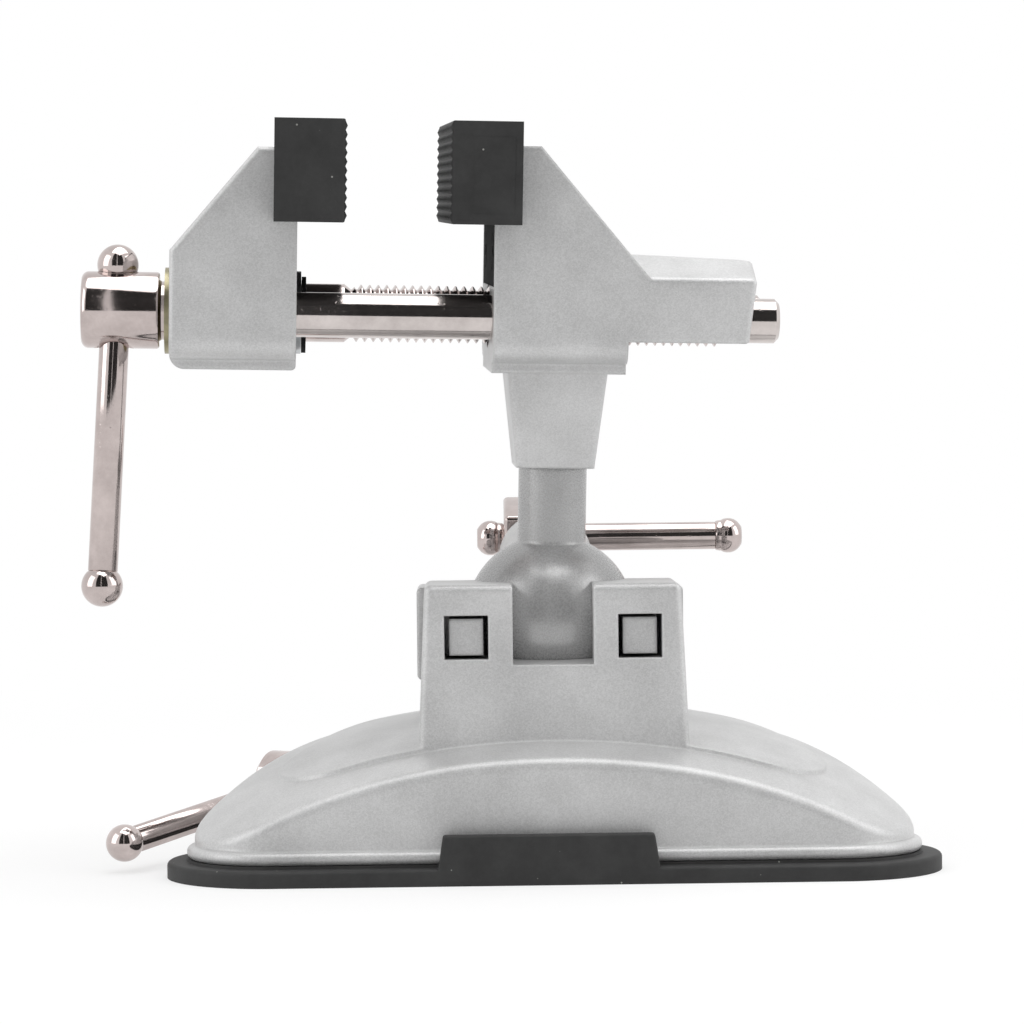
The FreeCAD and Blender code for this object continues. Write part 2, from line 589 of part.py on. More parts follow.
def make_suction_cup():
    """The rubber cup: a thin flange, the seat under the casting and a thicker middle."""
    cup = new_body("suction_cup")
    points, arcs = rounded_triangle("base_corner_reach", "cup_corner_radius")
    add_slab(cup, "cup_flange", "XY_Plane", "0", "cup_edge_height", points, arcs)
    round_edges(
        cup, "cup_edges", "cup_edge_round",
        lambda edge: at_place(edge.BoundBox.ZMin, "cup_edge_height"),
    )
    points, arcs = rounded_triangle(*RIM)
    add_slab(cup, "cup_seat", "XY_Plane", "0", "rim_bottom", points, arcs)
    add_slab(cup, "cup_disc", "XY_Plane", "0", DISC_TOP, circles=[("0", "0", "cup_disc_radius")])
    front = "-(base_corner_reach / 2 + cup_corner_radius)"
    lug = [
        ("-lug_offset - lug_bottom_width / 2", "0"), ("-lug_offset + lug_bottom_width / 2", "0"),
        ("-lug_offset + lug_top_width / 2", "lug_height"), ("-lug_offset - lug_top_width / 2", "lug_height"),
    ]
    add_slab(cup, "release_lug", "XZ_Plane", front, f"{front} + lug_thickness", lug)
    add_slab(
        cup, "cup_recess", "XY_Plane", "-overrun", "cup_recess_depth",
        circles=[("0", "0", "cup_recess_radius"), ("0", "0", "cup_centre_radius")], cut=True,
    )
    plate_seat = f"{DISC_TOP} - plate_thickness"
    add_slab(
        cup, "plate_seat", "XY_Plane", plate_seat, f"{DISC_TOP} + overrun",
        circles=[("0", "0", "plate_radius + loose_fit")], cut=True,
    )
    add_slab(
        cup, "rivet_seat", "XY_Plane", f"{plate_seat} - stud_head_thickness", f"{plate_seat} + overrun",
        circles=[("0", "0", "stud_head_radius + loose_fit")], cut=True,
    )
    return cup


def make_suction_pull():
    """The steel disc in the cup, and the stud whose yoke goes round the eccentric."""
    plate_seat = f"{DISC_TOP} - plate_thickness"
    plate = new_body("suction_plate")
    add_slab(
        plate, "disc", "XY_Plane", plate_seat, DISC_TOP,
        circles=[("0", "0", "plate_radius"), ("0", "0", "stud_shank_radius")],
    )
    stud = new_body("pull_stud", moved(None, turn="rotation(vector(0; 0; 1); cam_axis_bearing)"))
    head = f"{plate_seat} - stud_head_thickness"
    rivet = [
        ("0", head), ("stud_head_radius", head), ("stud_head_radius", plate_seat),
        ("stud_shank_radius", plate_seat), ("stud_shank_radius", DISC_TOP),
        ("stud_head_radius", DISC_TOP), ("stud_head_radius", YOKE_BOTTOM), ("0", YOKE_BOTTOM),
    ]
    add_turned(stud, "rivet", rivet)
    yoke = box_points("-yoke_half_width", "yoke_half_width", YOKE_BOTTOM, f"{SLOT_TOP} + yoke_crown")
    add_slab(stud, "yoke", "YZ_Plane", "-yoke_half_thickness", "yoke_half_thickness", yoke)
    side = "cam_radius + cam_throw + loose_fit"
    slot = box_points(f"-({side})", side, SLOT_BOTTOM, SLOT_TOP)
    reach = "yoke_half_thickness + overrun"
    add_slab(stud, "yoke_slot", "YZ_Plane", f"-({reach})", reach, slot, cut=True)
    return plate, stud


def make_tee_bar(name, place, radius, ball, long_end, short_end):
    """A bar through a screw's head: a ball made in one with it at the short end, and a
    screwed-on ball at the long end."""
    spigot = f"{radius} * spigot_share"
    face = f"sqrt({ball} ^ 2 - {radius} ^ 2)"
    bar = new_body(name, place)
    outline = [
        ("0", f"-{long_end}"), (spigot, f"-{long_end}"), (spigot, f"-{long_end} + {face}"),
        (radius, f"-{long_end} + {face}"), (radius, f"{short_end} - {face}"), ("0", f"{short_end} + {ball}"),
    ]
    add_turned(bar, name + "_rod", outline, {4: (ball, 1)})
    knob = new_body(name + "_knob", place)
    outline = [
        ("0", f"-{long_end} - {ball}"), (radius, f"-{long_end} + {face}"),
        (spigot, f"-{long_end} + {face}"), (spigot, f"-{long_end}"), ("0", f"-{long_end}"),
    ]
    add_turned(knob, name + "_ball", outline, {0: (ball, 1)})
    return bar, knob


def cut_cross_hole(body, name, place, radius, ball, seat, reach):
    """A cross hole along a place's upright axis, with a seat for a ball at each end."""
    add_primitive(
        body, "SubtractiveCylinder", name,
        {"Radius": f"{radius} + running_fit", "Height": f"2 * ({reach})"}, moved(place, z=f"-({reach})"),
    )
    for side, end in (("-", "low"), ("", "high")):
        add_primitive(
            body, "SubtractiveSphere", f"{name}_{end}_seat", {"Radius": f"{ball} + seat_fit"},
            moved(place, z=f"{side}{seat}"),
        )


def make_suction_lever():
    """The cam shaft with its eccentric and head, the ring on its inner end and its bar."""
    shaft = new_body("cam_shaft", CAM)
    end = "lever_head_start + lever_head_length"
    outline = [
        ("cam_half_length", "0"), ("cam_half_length", "cam_shaft_radius"),
        ("lever_head_start", "cam_shaft_radius"),
        ("lever_head_start", "lever_head_radius - lever_head_chamfer"),
        ("lever_head_start + lever_head_chamfer", "lever_head_radius"),
        (f"{end} - lever_head_chamfer", "lever_head_radius"), (end, "lever_head_radius - lever_head_chamfer"),
        (end, "0"),
    ]
    add_turned(shaft, "shaft", outline, axis="H_Axis")
    add_slab(
        shaft, "eccentric", "YZ_Plane", "-cam_half_length", "cam_half_length",
        circles=[("0", "-cam_throw", "cam_radius")],
    )
    add_slab(
        shaft, "trunnion", "YZ_Plane", "-(cam_half_length + trunnion_length)", "-cam_half_length",
        circles=[("0", "0", "trunnion_radius")],
    )
    groove_start = "cam_half_length + 2 * loose_fit + cam_lug_thickness"
    groove = box_points(
        f"-({groove_start} + clip_thickness + running_fit)", f"-({groove_start} - running_fit)",
        "trunnion_radius - clip_groove_depth", "trunnion_radius + overrun",
    )
    add_turned(shaft, "clip_groove", groove, axis="H_Axis", cut=True)
    cross = moved(
        None, x="lever_head_start + lever_head_length / 2", turn="rotation(vector(1; 0; 0); 90 - lever_drop)",
    )
    cut_cross_hole(
        shaft, "lever_hole", cross, "suction_bar_radius", "suction_ball_radius", "suction_bar_short",
        "lever_head_radius + overrun",
    )
    clip = new_body("cam_clip", CAM)
    ring = [("0", "0", "clip_radius"), ("0", "0", "trunnion_radius - clip_groove_depth + running_fit")]
    add_slab(
        clip, "clip_ring", "YZ_Plane", f"-({groove_start} + clip_thickness)", f"-({groove_start})",
        circles=ring,
    )
    bar = make_tee_bar(
        "suction_bar", LEVER, "suction_bar_radius", "suction_ball_radius", "suction_bar_long",
        "suction_bar_short",
    )
    return shaft, clip, *bar


def make_clamp():
    """The sliding half of the ball's socket, the screw that presses it and the screw's bar."""
    jaw = new_body("clamp_jaw")
    block = box_points("-clamp_jaw_width / 2", "clamp_jaw_width / 2", "clamp_jaw_bottom", "clamp_jaw_top")
    add_slab(jaw, "jaw_block", "XZ_Plane", JAW_FRONT, f"{JAW_FRONT} + clamp_jaw_depth", block)
    front = number(JAW_FRONT)
    round_edges(
        jaw, "jaw_edges", "clamp_jaw_round",
        lambda edge: edge.BoundBox.YMax > front + number("running_fit"),
    )
    add_primitive(
        jaw, "AdditiveCylinder", "screw_pad", {"Radius": "clamp_pad_radius", "Height": "clamp_pad_end"},
        CLAMP,
    )
    for side, name in (("-", "left"), ("", "right")):
        peg = box_points(
            f"{side}peg_spacing / 2 - peg_width / 2", f"{side}peg_spacing / 2 + peg_width / 2",
            "peg_height - peg_depth / 2", "peg_height + peg_depth / 2",
        )
        add_slab(jaw, name + "_peg", "XZ_Plane", "-block_front + peg_setback", f"{JAW_FRONT} + overrun", peg)
    add_primitive(jaw, "SubtractiveSphere", "rear_socket", {"Radius": SOCKET}, BALL)
    add_primitive(
        jaw, "SubtractiveSphere", "peg_relief", {"Radius": "ball_radius + loose_fit", "Angle3": "180"},
        moved(BALL, turn="rotation(vector(0; 0; 1); 180)"),
    )

    screw = new_body("clamp_screw", CLAMP)
    top = "clamp_collar_start + clamp_head_length"
    outline = [
        ("0", "clamp_pad_end"), ("clamp_screw_radius", "clamp_pad_end"),
        ("clamp_screw_radius", CLAMP_HOLE), ("0", CLAMP_HOLE),
    ]
    add_turned(screw, "screw", outline)
    sides = ("clamp_head_half_width", "clamp_head_half_height")
    head = box_points(f"-{sides[0]}", sides[0], f"-{sides[1]}", sides[1])
    add_slab(screw, "screw_head", "XY_Plane", "clamp_collar_start", top, head)
    half_width, half_height = (number(f"{side} - running_fit") for side in sides)
    round_edges(
        screw, "screw_head_edges", "clamp_head_round",
        lambda edge: edge.BoundBox.XMax > half_width or edge.BoundBox.XMin < -half_width
        or edge.BoundBox.YMax > half_height or edge.BoundBox.YMin < -half_height,
    )
    add_primitive(
        screw, "SubtractiveCylinder", "bar_hole",
        {"Radius": "clamp_bar_radius + running_fit", "Height": "2 * (clamp_head_half_width + overrun)"},
        moved(None, x="-(clamp_head_half_width + overrun)", z=CLAMP_HOLE, turn=ACROSS),
    )

    place = moved(CLAMP, z=CLAMP_HOLE)
    bar = new_body("clamp_bar", place)
    outline = [
        ("-clamp_bar_left", "0"), ("-clamp_bar_left", "cap_spigot_radius"),
        ("-clamp_bar_left + cap_length", "cap_spigot_radius"),
        ("-clamp_bar_left + cap_length", "clamp_bar_radius"),
        ("clamp_bar_right - cap_length", "clamp_bar_radius"),
        ("clamp_bar_right - cap_length", "cap_spigot_radius"),
        ("clamp_bar_right", "cap_spigot_radius"), ("clamp_bar_right", "0"),
    ]
    add_turned(bar, "clamp_rod", outline, axis="H_Axis")
    caps = []
    for name, start in (("left_cap", "-clamp_bar_left"), ("right_cap", "clamp_bar_right - cap_length")):
        cap = new_body(name, place)
        outline = [
            (start, "cap_spigot_radius"), (f"{start} + cap_length", "cap_spigot_radius"),
            (f"{start} + cap_length", "cap_radius - cap_barrel_rise"),
            (start, "cap_radius - cap_barrel_rise"),
        ]
        barrel = "(cap_length ^ 2 / 4 + cap_barrel_rise ^ 2) / (2 * cap_barrel_rise)"
        add_turned(cap, name + "_barrel", outline, {2: (barrel, 1)}, axis="H_Axis")
        caps.append(cap)
    both = doc.addObject("Part::Compound", "clamp_bar_caps")
    both.Links = caps
    return jaw, screw, bar, both


def make_ball_stem():
    """The ball, its neck and the spigot that the head turns on."""
    stem = new_body("ball_stem", HEAD)
    top = "neck_top + spigot_length"
    groove = "neck_top + spigot_length / 2"
    outline = [
        ("0", "-ball_radius"), ("neck_radius", "sqrt(ball_radius ^ 2 - neck_radius ^ 2)"),
        ("neck_radius", "neck_top"), ("spigot_radius", "neck_top"),
        ("spigot_radius", f"{groove} - spigot_groove_width / 2"),
        ("spigot_radius - spigot_groove_depth", f"{groove} - spigot_groove_width / 2"),
        ("spigot_radius - spigot_groove_depth", f"{groove} + spigot_groove_width / 2"),
        ("spigot_radius", f"{groove} + spigot_groove_width / 2"),
        ("spigot_radius", f"{top} - spigot_chamfer"), ("spigot_radius - spigot_chamfer", top), ("0", top),
    ]
    add_turned(stem, "stem", outline, {0: ("ball_radius", 1)})
    return stem


def bore_along_x(body, name, radius, start, end, y="0", height="screw_height"):
    add_primitive(
        body, "SubtractiveCylinder", name, {"Radius": radius, "Height": f"({end}) - ({start})"},
        moved(None, x=start, y=y, z=height, turn=ACROSS),
    )


def round_cheeks(body, name):
    """Rounds a jaw casting's lower long edges."""
    low = number("cheek_bottom")
    side = number("casting_half_depth")
    near = number("running_fit")
    round_edges(
        body, name, "cheek_round",
        lambda edge: is_line_along(edge, "x") and abs(edge.BoundBox.ZMin - low) < near
        and abs(abs(edge.BoundBox.YMin) - side) < near,
    )


def cut_plate_seat(body, name, face, inward):
    """The recess for a jaw plate's tongue and the holes for its two screws."""
    outer = f"{face} - ({inward}overrun)"
    inner = f"{face} + ({inward}tongue_inset)"
    left, right = (outer, inner) if inward == "" else (inner, outer)
    seat = box_points(left, right, "tongue_bottom - running_fit", "tongue_top + running_fit")
    half = "tongue_half_width + running_fit"
    add_slab(body, name + "_seat", "XZ_Plane", f"-({half})", half, seat, cut=True)
    start, end = face, f"{face} + ({inward}plate_screw_length) + ({inward}running_fit)"
    if inward == "-":
        start, end = end, start
    for side in ("-", ""):
        bore_along_x(
            body, name + ("_far_hole" if side == "" else "_near_hole"), "plate_screw_radius + running_fit",
            start, end, f"{side}plate_screw_spacing / 2", PLATE_SCREWS,
        )


def make_fixed_jaw():
    """The fixed casting: tunnel, cheek, underside band and the flare that holds the stem."""
    jaw = new_body("fixed_jaw", HEAD)
    side = "casting_half_depth"
    tunnel = [
        ("0", "tunnel_bottom"), ("tunnel_end_bottom", "tunnel_bottom"),
        ("tunnel_end_top", "tunnel_ridge - tunnel_ridge_fall"), ("0", "tunnel_ridge"),
    ]
    add_slab(jaw, "tunnel", "XZ_Plane", f"-{side}", side, tunnel)
    shoulder = "tunnel_ridge - tunnel_shoulder_drop"
    for sign, name in (("-", "near"), ("", "far")):
        roof = [
            (f"{sign}tunnel_ridge_half_depth", "tunnel_ridge"), (f"{sign}({side})", shoulder),
            (f"{sign}({side} + overrun)", shoulder),
            (f"{sign}({side} + overrun)", "tunnel_ridge + overrun"),
            (f"{sign}tunnel_ridge_half_depth", "tunnel_ridge + overrun"),
        ]
        add_slab(jaw, name + "_roof_cut", "YZ_Plane", "-overrun", "tunnel_end_top + overrun", roof, cut=True)
    low = number("tunnel_bottom")
    round_edges(
        jaw, "tunnel_edges", "edge_round",
        lambda edge: edge.BoundBox.XMin > number("running_fit") or (
            edge.BoundBox.ZMax > low + number("overrun") and edge.BoundBox.XLength > number("overrun")),
    )
    cheek = [
        ("-fixed_face", "cheek_bottom"), ("fixed_cheek_end", "cheek_bottom"),
        ("fixed_cheek_end", "tunnel_bottom + edge_round"), ("fixed_slope_end", "fixed_slope_foot"),
        ("-fixed_face + fixed_top_length", "fixed_top"), ("-fixed_face", "fixed_top"),
    ]
    add_slab(jaw, "cheek", "XZ_Plane", f"-{side}", side, cheek)
    round_cheeks(jaw, "cheek_edges")
    band = box_points(
        "-band_half_depth", "band_half_depth", "cheek_bottom - band_drop", "cheek_bottom + overrun",
    )
    add_slab(jaw, "underside_band", "YZ_Plane", "-fixed_face", "fixed_cheek_end", band)

    foot = new_sketch(jaw, "flare_foot", "XY_Plane", "neck_top")
    draw_outline(foot, box_points(*["-flare_foot_half_width", "flare_foot_half_width"] * 2), {})
    top = new_sketch(jaw, "flare_top", "XY_Plane", "cheek_bottom - band_drop + running_fit")
    draw_outline(top, box_points(*["-flare_top_half_width", "flare_top_half_width"] * 2), {})
    flare = jaw.newObject("PartDesign::AdditiveLoft", "flare")
    flare.Profile = foot
    flare.Sections = [top]
    flare.Ruled = True
    high, length = number("cheek_bottom - band_drop"), number("neck_top")
    round_edges(
        jaw, "flare_edges", "flare_corner",
        lambda edge: abs(edge.BoundBox.ZMin - length) < number("running_fit")
        and edge.BoundBox.ZLength > (high - length) / 2,
    )

    add_primitive(
        jaw, "SubtractiveCylinder", "stem_bore",
        {"Radius": "spigot_radius + running_fit", "Height": "overrun + spigot_length + loose_fit"},
        moved(None, z="neck_top - overrun"),
    )
    bore_along_x(
        jaw, "screw_bore", "screw_radius + 2 * loose_fit", "-fixed_face - overrun", "-nut_start + overrun",
    )
    bore_along_x(jaw, "nut_bore", "nut_radius", "-nut_start", "tunnel_end_top + overrun")
    for sign, name in (("-", "near"), ("", "far")):
        bore_along_x(
            jaw, name + "_rod_bore", "rod_radius + running_fit",
            "-fixed_face - overrun", "tunnel_end_top + overrun", f"{sign}rod_spacing / 2",
        )
    cut_plate_seat(jaw, "fixed_plate", "-fixed_face", "")
    add_primitive(
        jaw, "SubtractiveCylinder", "lock_screw_hole",
        {"Radius": "lock_screw_radius + running_fit", "Height": "flare_top_half_width"},
        moved(None, z="neck_top + spigot_length / 2", turn="rotation(vector(1; 0; 0); -90)"),
    )
    return jaw


def make_lock_screw():
    """The grub screw in the flare's back, whose tip lies in the spigot's groove."""
    place = moved(HEAD, z="neck_top + spigot_length / 2", turn="rotation(vector(1; 0; 0); -90)")
    screw = new_body("stem_lock_screw", place)
    end = "flare_foot_half_width + lock_screw_sink"
    outline = [
        ("0", "spigot_radius - spigot_groove_depth + seat_fit"),
        ("lock_screw_tip_radius", "spigot_radius - spigot_groove_depth + seat_fit"),
        ("lock_screw_tip_radius", "spigot_radius + seat_fit"),
        ("lock_screw_radius", "spigot_radius + seat_fit"),
        ("lock_screw_radius", end), ("lock_socket_radius", end),
        ("lock_socket_radius", f"{end} - lock_socket_depth"), ("0", f"{end} - lock_socket_depth"),
    ]
    add_turned(screw, "grub", outline)
    return screw


def make_moving_jaw():
    """The moving casting, with the seats of the two rods and the lead screw's bore."""
    jaw = new_body("moving_jaw", HEAD)
    side = "casting_half_depth"
    outline = [
        ("-moving_back", "cheek_bottom"), ("-moving_face", "cheek_bottom"), ("-moving_face", "moving_top"),
        ("-moving_face - moving_top_length", "moving_top"), ("-moving_back", "moving_slope_foot"),
    ]
    add_slab(jaw, "moving_cheek", "XZ_Plane", f"-{side}", side, outline)
    round_cheeks(jaw, "moving_cheek_edges")
    side_place = number(side)
    slope = number("moving_slope_foot")
    face = -number("moving_face")
    round_edges(
        jaw, "moving_edges", "edge_round",
        lambda edge: edge.BoundBox.YLength < number("running_fit")
        and abs(abs(edge.BoundBox.YMin) - side_place) < number("running_fit")
        and edge.BoundBox.ZMax > slope - number("running_fit")
        and edge.BoundBox.XMin < face - number("running_fit"),
    )
    low = "cheek_bottom - band_drop"
    band = [
        ("-moving_back", f"{low} + band_end_round"), ("-moving_back + band_end_round", low),
        ("-moving_face - edge_round", low), ("-moving_face", f"{low} + edge_round"),
        ("-moving_face", "cheek_bottom + overrun"), ("-moving_back", "cheek_bottom + overrun"),
    ]
    arcs = {0: ("band_end_round", 1), 2: ("edge_round", 1)}
    add_slab(jaw, "moving_band", "XZ_Plane", "-band_half_depth", "band_half_depth", band, arcs)
    bore_along_x(
        jaw, "shank_bore", "shank_radius + running_fit", "-moving_back - overrun", "-moving_face + overrun",
    )
    for sign, name in (("-", "near"), ("", "far")):
        bore_along_x(
            jaw, name + "_rod_seat", "rod_radius", "-rod_seat_end", "-moving_face + overrun",
            f"{sign}rod_spacing / 2",
        )
        add_primitive(
            jaw, "SubtractiveCylinder", name + "_pin_hole",
            {
                "Radius": "pin_radius",
                "Height": "screw_height + pin_above - cheek_bottom + band_drop + overrun",
            },
            moved(
                None, x="-pin_position", y=f"{sign}rod_spacing / 2", z="cheek_bottom - band_drop - overrun",
            ),
        )
    cut_plate_seat(jaw, "moving_plate", "-moving_face", "-")
    return jaw


def make_jaw_plate(name, face, inward):
    """A black steel plate: the upper slab stands before the casting, the tongue lies in it."""
    outward = "-" if inward == "" else ""
    plate = new_body(name, HEAD)
    front = f"{face} + ({outward}plate_proud)"
    back = f"{face} + ({inward}tongue_inset)"
    ends = (front, face) if outward == "-" else (face, front)
    add_slab(
        plate, name + "_slab", "XZ_Plane", "-plate_half_width", "plate_half_width",
        box_points(*ends, "plate_bottom", "plate_top"),
    )
    ends = (face, back) if outward == "-" else (back, face)
    add_slab(
        plate, name + "_tongue", "XZ_Plane", "-tongue_half_width", "tongue_half_width",
        box_points(*ends, "tongue_bottom", "tongue_top"),
    )
    turn = ACROSS if inward == "" else "rotation(vector(0; 1; 0); -90)"
    for side, hole in (("-", "near"), ("", "far")):
        place = moved(None, x=face, y=f"{side}plate_screw_spacing / 2", z=PLATE_SCREWS, turn=turn)
        add_primitive(
            plate, "SubtractiveCylinder", f"{name}_{hole}_hole",
            {"Radius": "plate_screw_radius + running_fit", "Height": "tongue_inset + overrun"}, place,
        )
        add_primitive(
            plate, "SubtractiveCone", f"{name}_{hole}_countersink",
            {
                "Radius1": "plate_screw_head_radius + running_fit",
                "Radius2": "plate_screw_radius + running_fit",
                "Height": "plate_screw_head_radius - plate_screw_radius",
            },
            place,
        )
    return plate


def make_plate_screws(name, face, inward):
    """A plate's two countersunk screws."""
    turn = ACROSS if inward == "" else "rotation(vector(0; 1; 0); -90)"
    outline = [
        ("0", "plate_screw_socket_depth"), ("plate_screw_socket_radius", "plate_screw_socket_depth"),
        ("plate_screw_socket_radius", "0"), ("plate_screw_head_radius", "0"),
        ("plate_screw_radius", "plate_screw_head_radius - plate_screw_radius"),
        ("plate_screw_radius", "plate_screw_length"), ("0", "plate_screw_length"),
    ]
    screws = []
    for side, which in (("-", "near"), ("", "far")):
        place = moved(HEAD, x=face, y=f"{side}plate_screw_spacing / 2", z=PLATE_SCREWS, turn=turn)
        screw = new_body(f"{name}_{which}", place)
        add_turned(screw, f"{name}_{which}_shape", outline)
        screws.append(screw)
    both = doc.addObject("Part::Compound", name)
    both.Links = screws
    return both


def make_soft_pad(name, face, inward, casting_top):
    """A rubber cap over a jaw plate, with wings that reach back round the casting."""
    outward = "-" if inward == "" else ""
    pad = new_body(name, HEAD)
    grip = f"{face} + ({outward}pad_proud)"
    back = f"{face} + ({inward}pad_wing)"

    def ends(first, second):
        return (first, second) if outward == "-" else (second, first)

    add_slab(
        pad, name + "_cap", "XZ_Plane", "-pad_half_width", "pad_half_width",
        box_points(*ends(grip, back), "pad_bottom", "pad_top"),
    )
    grip_place = number(grip)
    round_edges(
        pad, name + "_edges", "pad_round",
        lambda edge: edge.BoundBox.XLength < number("running_fit")
        and abs(edge.BoundBox.XMin - grip_place) < number("running_fit"),
    )
    half = "casting_half_depth + soft_fit"
    add_slab(
        pad, name + "_casting_slot", "XZ_Plane", f"-({half})", half,
        box_points(
            *ends(face, f"{back} + ({inward}overrun)"), "pad_bottom - overrun", f"{casting_top} + soft_fit",
        ),
        cut=True,
    )
    half = "plate_half_width + soft_fit"
    add_slab(
        pad, name + "_plate_pocket", "XZ_Plane", f"-({half})", half,
        box_points(
            *ends(f"{face} + ({outward}plate_proud)", face), "plate_bottom - soft_fit",
            "plate_top + soft_fit",
        ),
        cut=True,
    )
    return pad


def make_guide_rods():
    """The two rods that carry the moving jaw, and the pins that hold them in it."""
    rods = []
    pins = []
    for sign, where in (("-", "front"), ("", "rear")):
        rod = new_body(where + "_guide_rod", moved(HEAD, y=f"{sign}rod_spacing / 2", z="screw_height"))
        outline = [
            ("-rod_seat_end", "0"), ("-rod_seat_end", "rod_radius - rod_chamfer"),
            ("-rod_seat_end + rod_chamfer", "rod_radius"), ("rod_right_end - rod_chamfer", "rod_radius"),
            ("rod_right_end", "rod_radius - rod_chamfer"), ("rod_right_end", "0"),
        ]
        add_turned(rod, where + "_rod_shape", outline, axis="H_Axis")
        reach = "rod_radius + overrun"
        add_primitive(
            rod, "SubtractiveCylinder", where + "_rod_hole",
            {"Radius": "pin_radius", "Height": f"2 * ({reach})"},
            moved(None, x="-pin_position", z=f"-({reach})"),
        )
        rods.append(rod)
        low = "cheek_bottom - band_drop"
        pin = new_body(
            where + "_rod_pin", moved(HEAD, x="-pin_position", y=f"{sign}rod_spacing / 2"),
        )
        add_slab(
            pin, where + "_pin_shape", "XY_Plane", low, "screw_height + pin_above",
            circles=[("0", "0", "pin_radius")],
        )
        pins.append(pin)
    both = doc.addObject("Part::Compound", "rod_pins")
    both.Links = pins
    return *rods, both


def make_ring(name, place, radius, bore, start, end):
    ring = new_body(name, place)
    add_slab(ring, name + "_ring", "YZ_Plane", start, end, circles=[("0", "0", radius), ("0", "0", bore)])
    return ring


def make_lead_screw():
    """The lead screw with its cross-drilled head, its washers, clip, thread insert and bar."""
    place = moved(HEAD, z="screw_height")
    screw = new_body("lead_screw", SCREW)
    back = "-(screw_head_start + screw_head_length)"
    outline = [
        ("screw_right_end", "0"), ("screw_right_end", "screw_radius - screw_end_chamfer"),
        ("screw_right_end - screw_end_chamfer", "screw_radius"), ("-thread_start", "screw_radius"),
        ("-shank_end", "shank_radius"), ("-screw_head_start", "shank_radius"),
        ("-screw_head_start", "screw_head_radius"), (f"{back} + screw_head_chamfer", "screw_head_radius"),
        (back, "screw_head_radius - screw_head_chamfer"), (back, "0"),
    ]
    add_turned(screw, "screw_shape", outline, axis="H_Axis")
    clip_start = "-moving_face + inner_washer_thickness + seat_fit"
    clip_end = f"{clip_start} + retainer_thickness"
    groove = box_points(
        f"{clip_start} - running_fit", f"{clip_end} + running_fit",
        "shank_radius - retainer_groove_depth", "shank_radius + overrun",
    )
    add_turned(screw, "retainer_groove", groove, axis="H_Axis", cut=True)
    cut_cross_hole(
        screw, "bar_cross_hole", moved(None, x="-cross_hole_position", turn=JAW_BAR_TURN), "jaw_bar_radius",
        "jaw_ball_radius", "jaw_bar_short", "screw_head_radius + overrun",
    )
    thrust = make_ring(
        "thrust_washer", place, "thrust_washer_radius", "shank_radius + loose_fit",
        "-moving_back - thrust_washer_thickness", "-moving_back",
    )
    inner = make_ring(
        "inner_washer", place, "inner_washer_radius", "shank_radius + loose_fit",
        "-moving_face", "-moving_face + inner_washer_thickness",
    )
    clip = new_body("retaining_clip", SCREW)
    circles = [
        ("0", "-retainer_offset", "retainer_radius"),
        ("0", "0", "shank_radius - retainer_groove_depth + running_fit"),
    ]
    add_slab(clip, "clip_shape", "YZ_Plane", clip_start, clip_end, circles=circles)
    mouth = box_points("-retainer_mouth / 2", "retainer_mouth / 2", "0", "retainer_radius + overrun")
    add_slab(
        clip, "clip_mouth", "YZ_Plane", f"{clip_start} - overrun", f"{clip_end} + overrun", mouth, cut=True,
    )
    nut = make_ring(
        "thread_nut", place, "nut_radius", "screw_radius + running_fit", "-nut_start",
        "-nut_start + nut_length",
    )
    bar = make_tee_bar(
        "jaw_bar", JAW_BAR, "jaw_bar_radius", "jaw_ball_radius", "jaw_bar_long", "jaw_bar_short",
    )
    return screw, thrust, inner, clip, nut, *bar


def check_document():
    """Raises an error for a feature that failed or a cut that cuts nothing."""
    for feature in doc.Objects:
        if {"Invalid", "Error"} & set(feature.State):
            raise RuntimeError(f"{feature.Name} failed: {feature.State}")
        if feature.TypeId in ("PartDesign::Pocket", "PartDesign::Groove"):
            removed = feature.BaseFeature.Shape.Volume - feature.Shape.Volume
            if removed <= 0:
                raise RuntimeError(f"{feature.Name} cuts nothing")


nodes = [
    make_base_casting(), make_suction_cup(), *make_suction_pull(), *make_suction_lever(), *make_clamp(),
    make_ball_stem(), make_lock_screw(), make_fixed_jaw(),
    make_jaw_plate("fixed_jaw_plate", "-fixed_face", ""),
    make_plate_screws("fixed_plate_screws", "-fixed_face", ""),
    make_soft_pad("fixed_soft_pad", "-fixed_face", "", "fixed_top"),
    make_moving_jaw(),
    make_jaw_plate("moving_jaw_plate", "-moving_face", "-"),
    make_plate_screws("moving_plate_screws", "-moving_face", "-"),
    make_soft_pad("moving_soft_pad", "-moving_face", "-", "moving_top"),
    *make_guide_rods(), *make_lead_screw(),
]
doc.recompute()
check_document()
for node in nodes:
    node.Label = node.Name
    if node.Shape.isNull() or not node.Shape.isValid():
        raise RuntimeError(f"{node.Name} has no valid shape")
for node in nodes:
    node.Shape.exportStep(f"parts/{node.Name}.step")
    box = node.Shape.BoundBox
    print(f"{node.Name}: {len(node.Shape.Solids)} solid, {node.Shape.Volume:.0f} mm3,"
          f" Z {box.ZMin:.1f} to {box.ZMax:.1f}")
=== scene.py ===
"""A small bench vise on a suction base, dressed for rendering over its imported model."""
import json
import math

import bpy
from bpy.props import FloatProperty, FloatVectorProperty, IntProperty, PointerProperty
from mathutils import Matrix, Vector


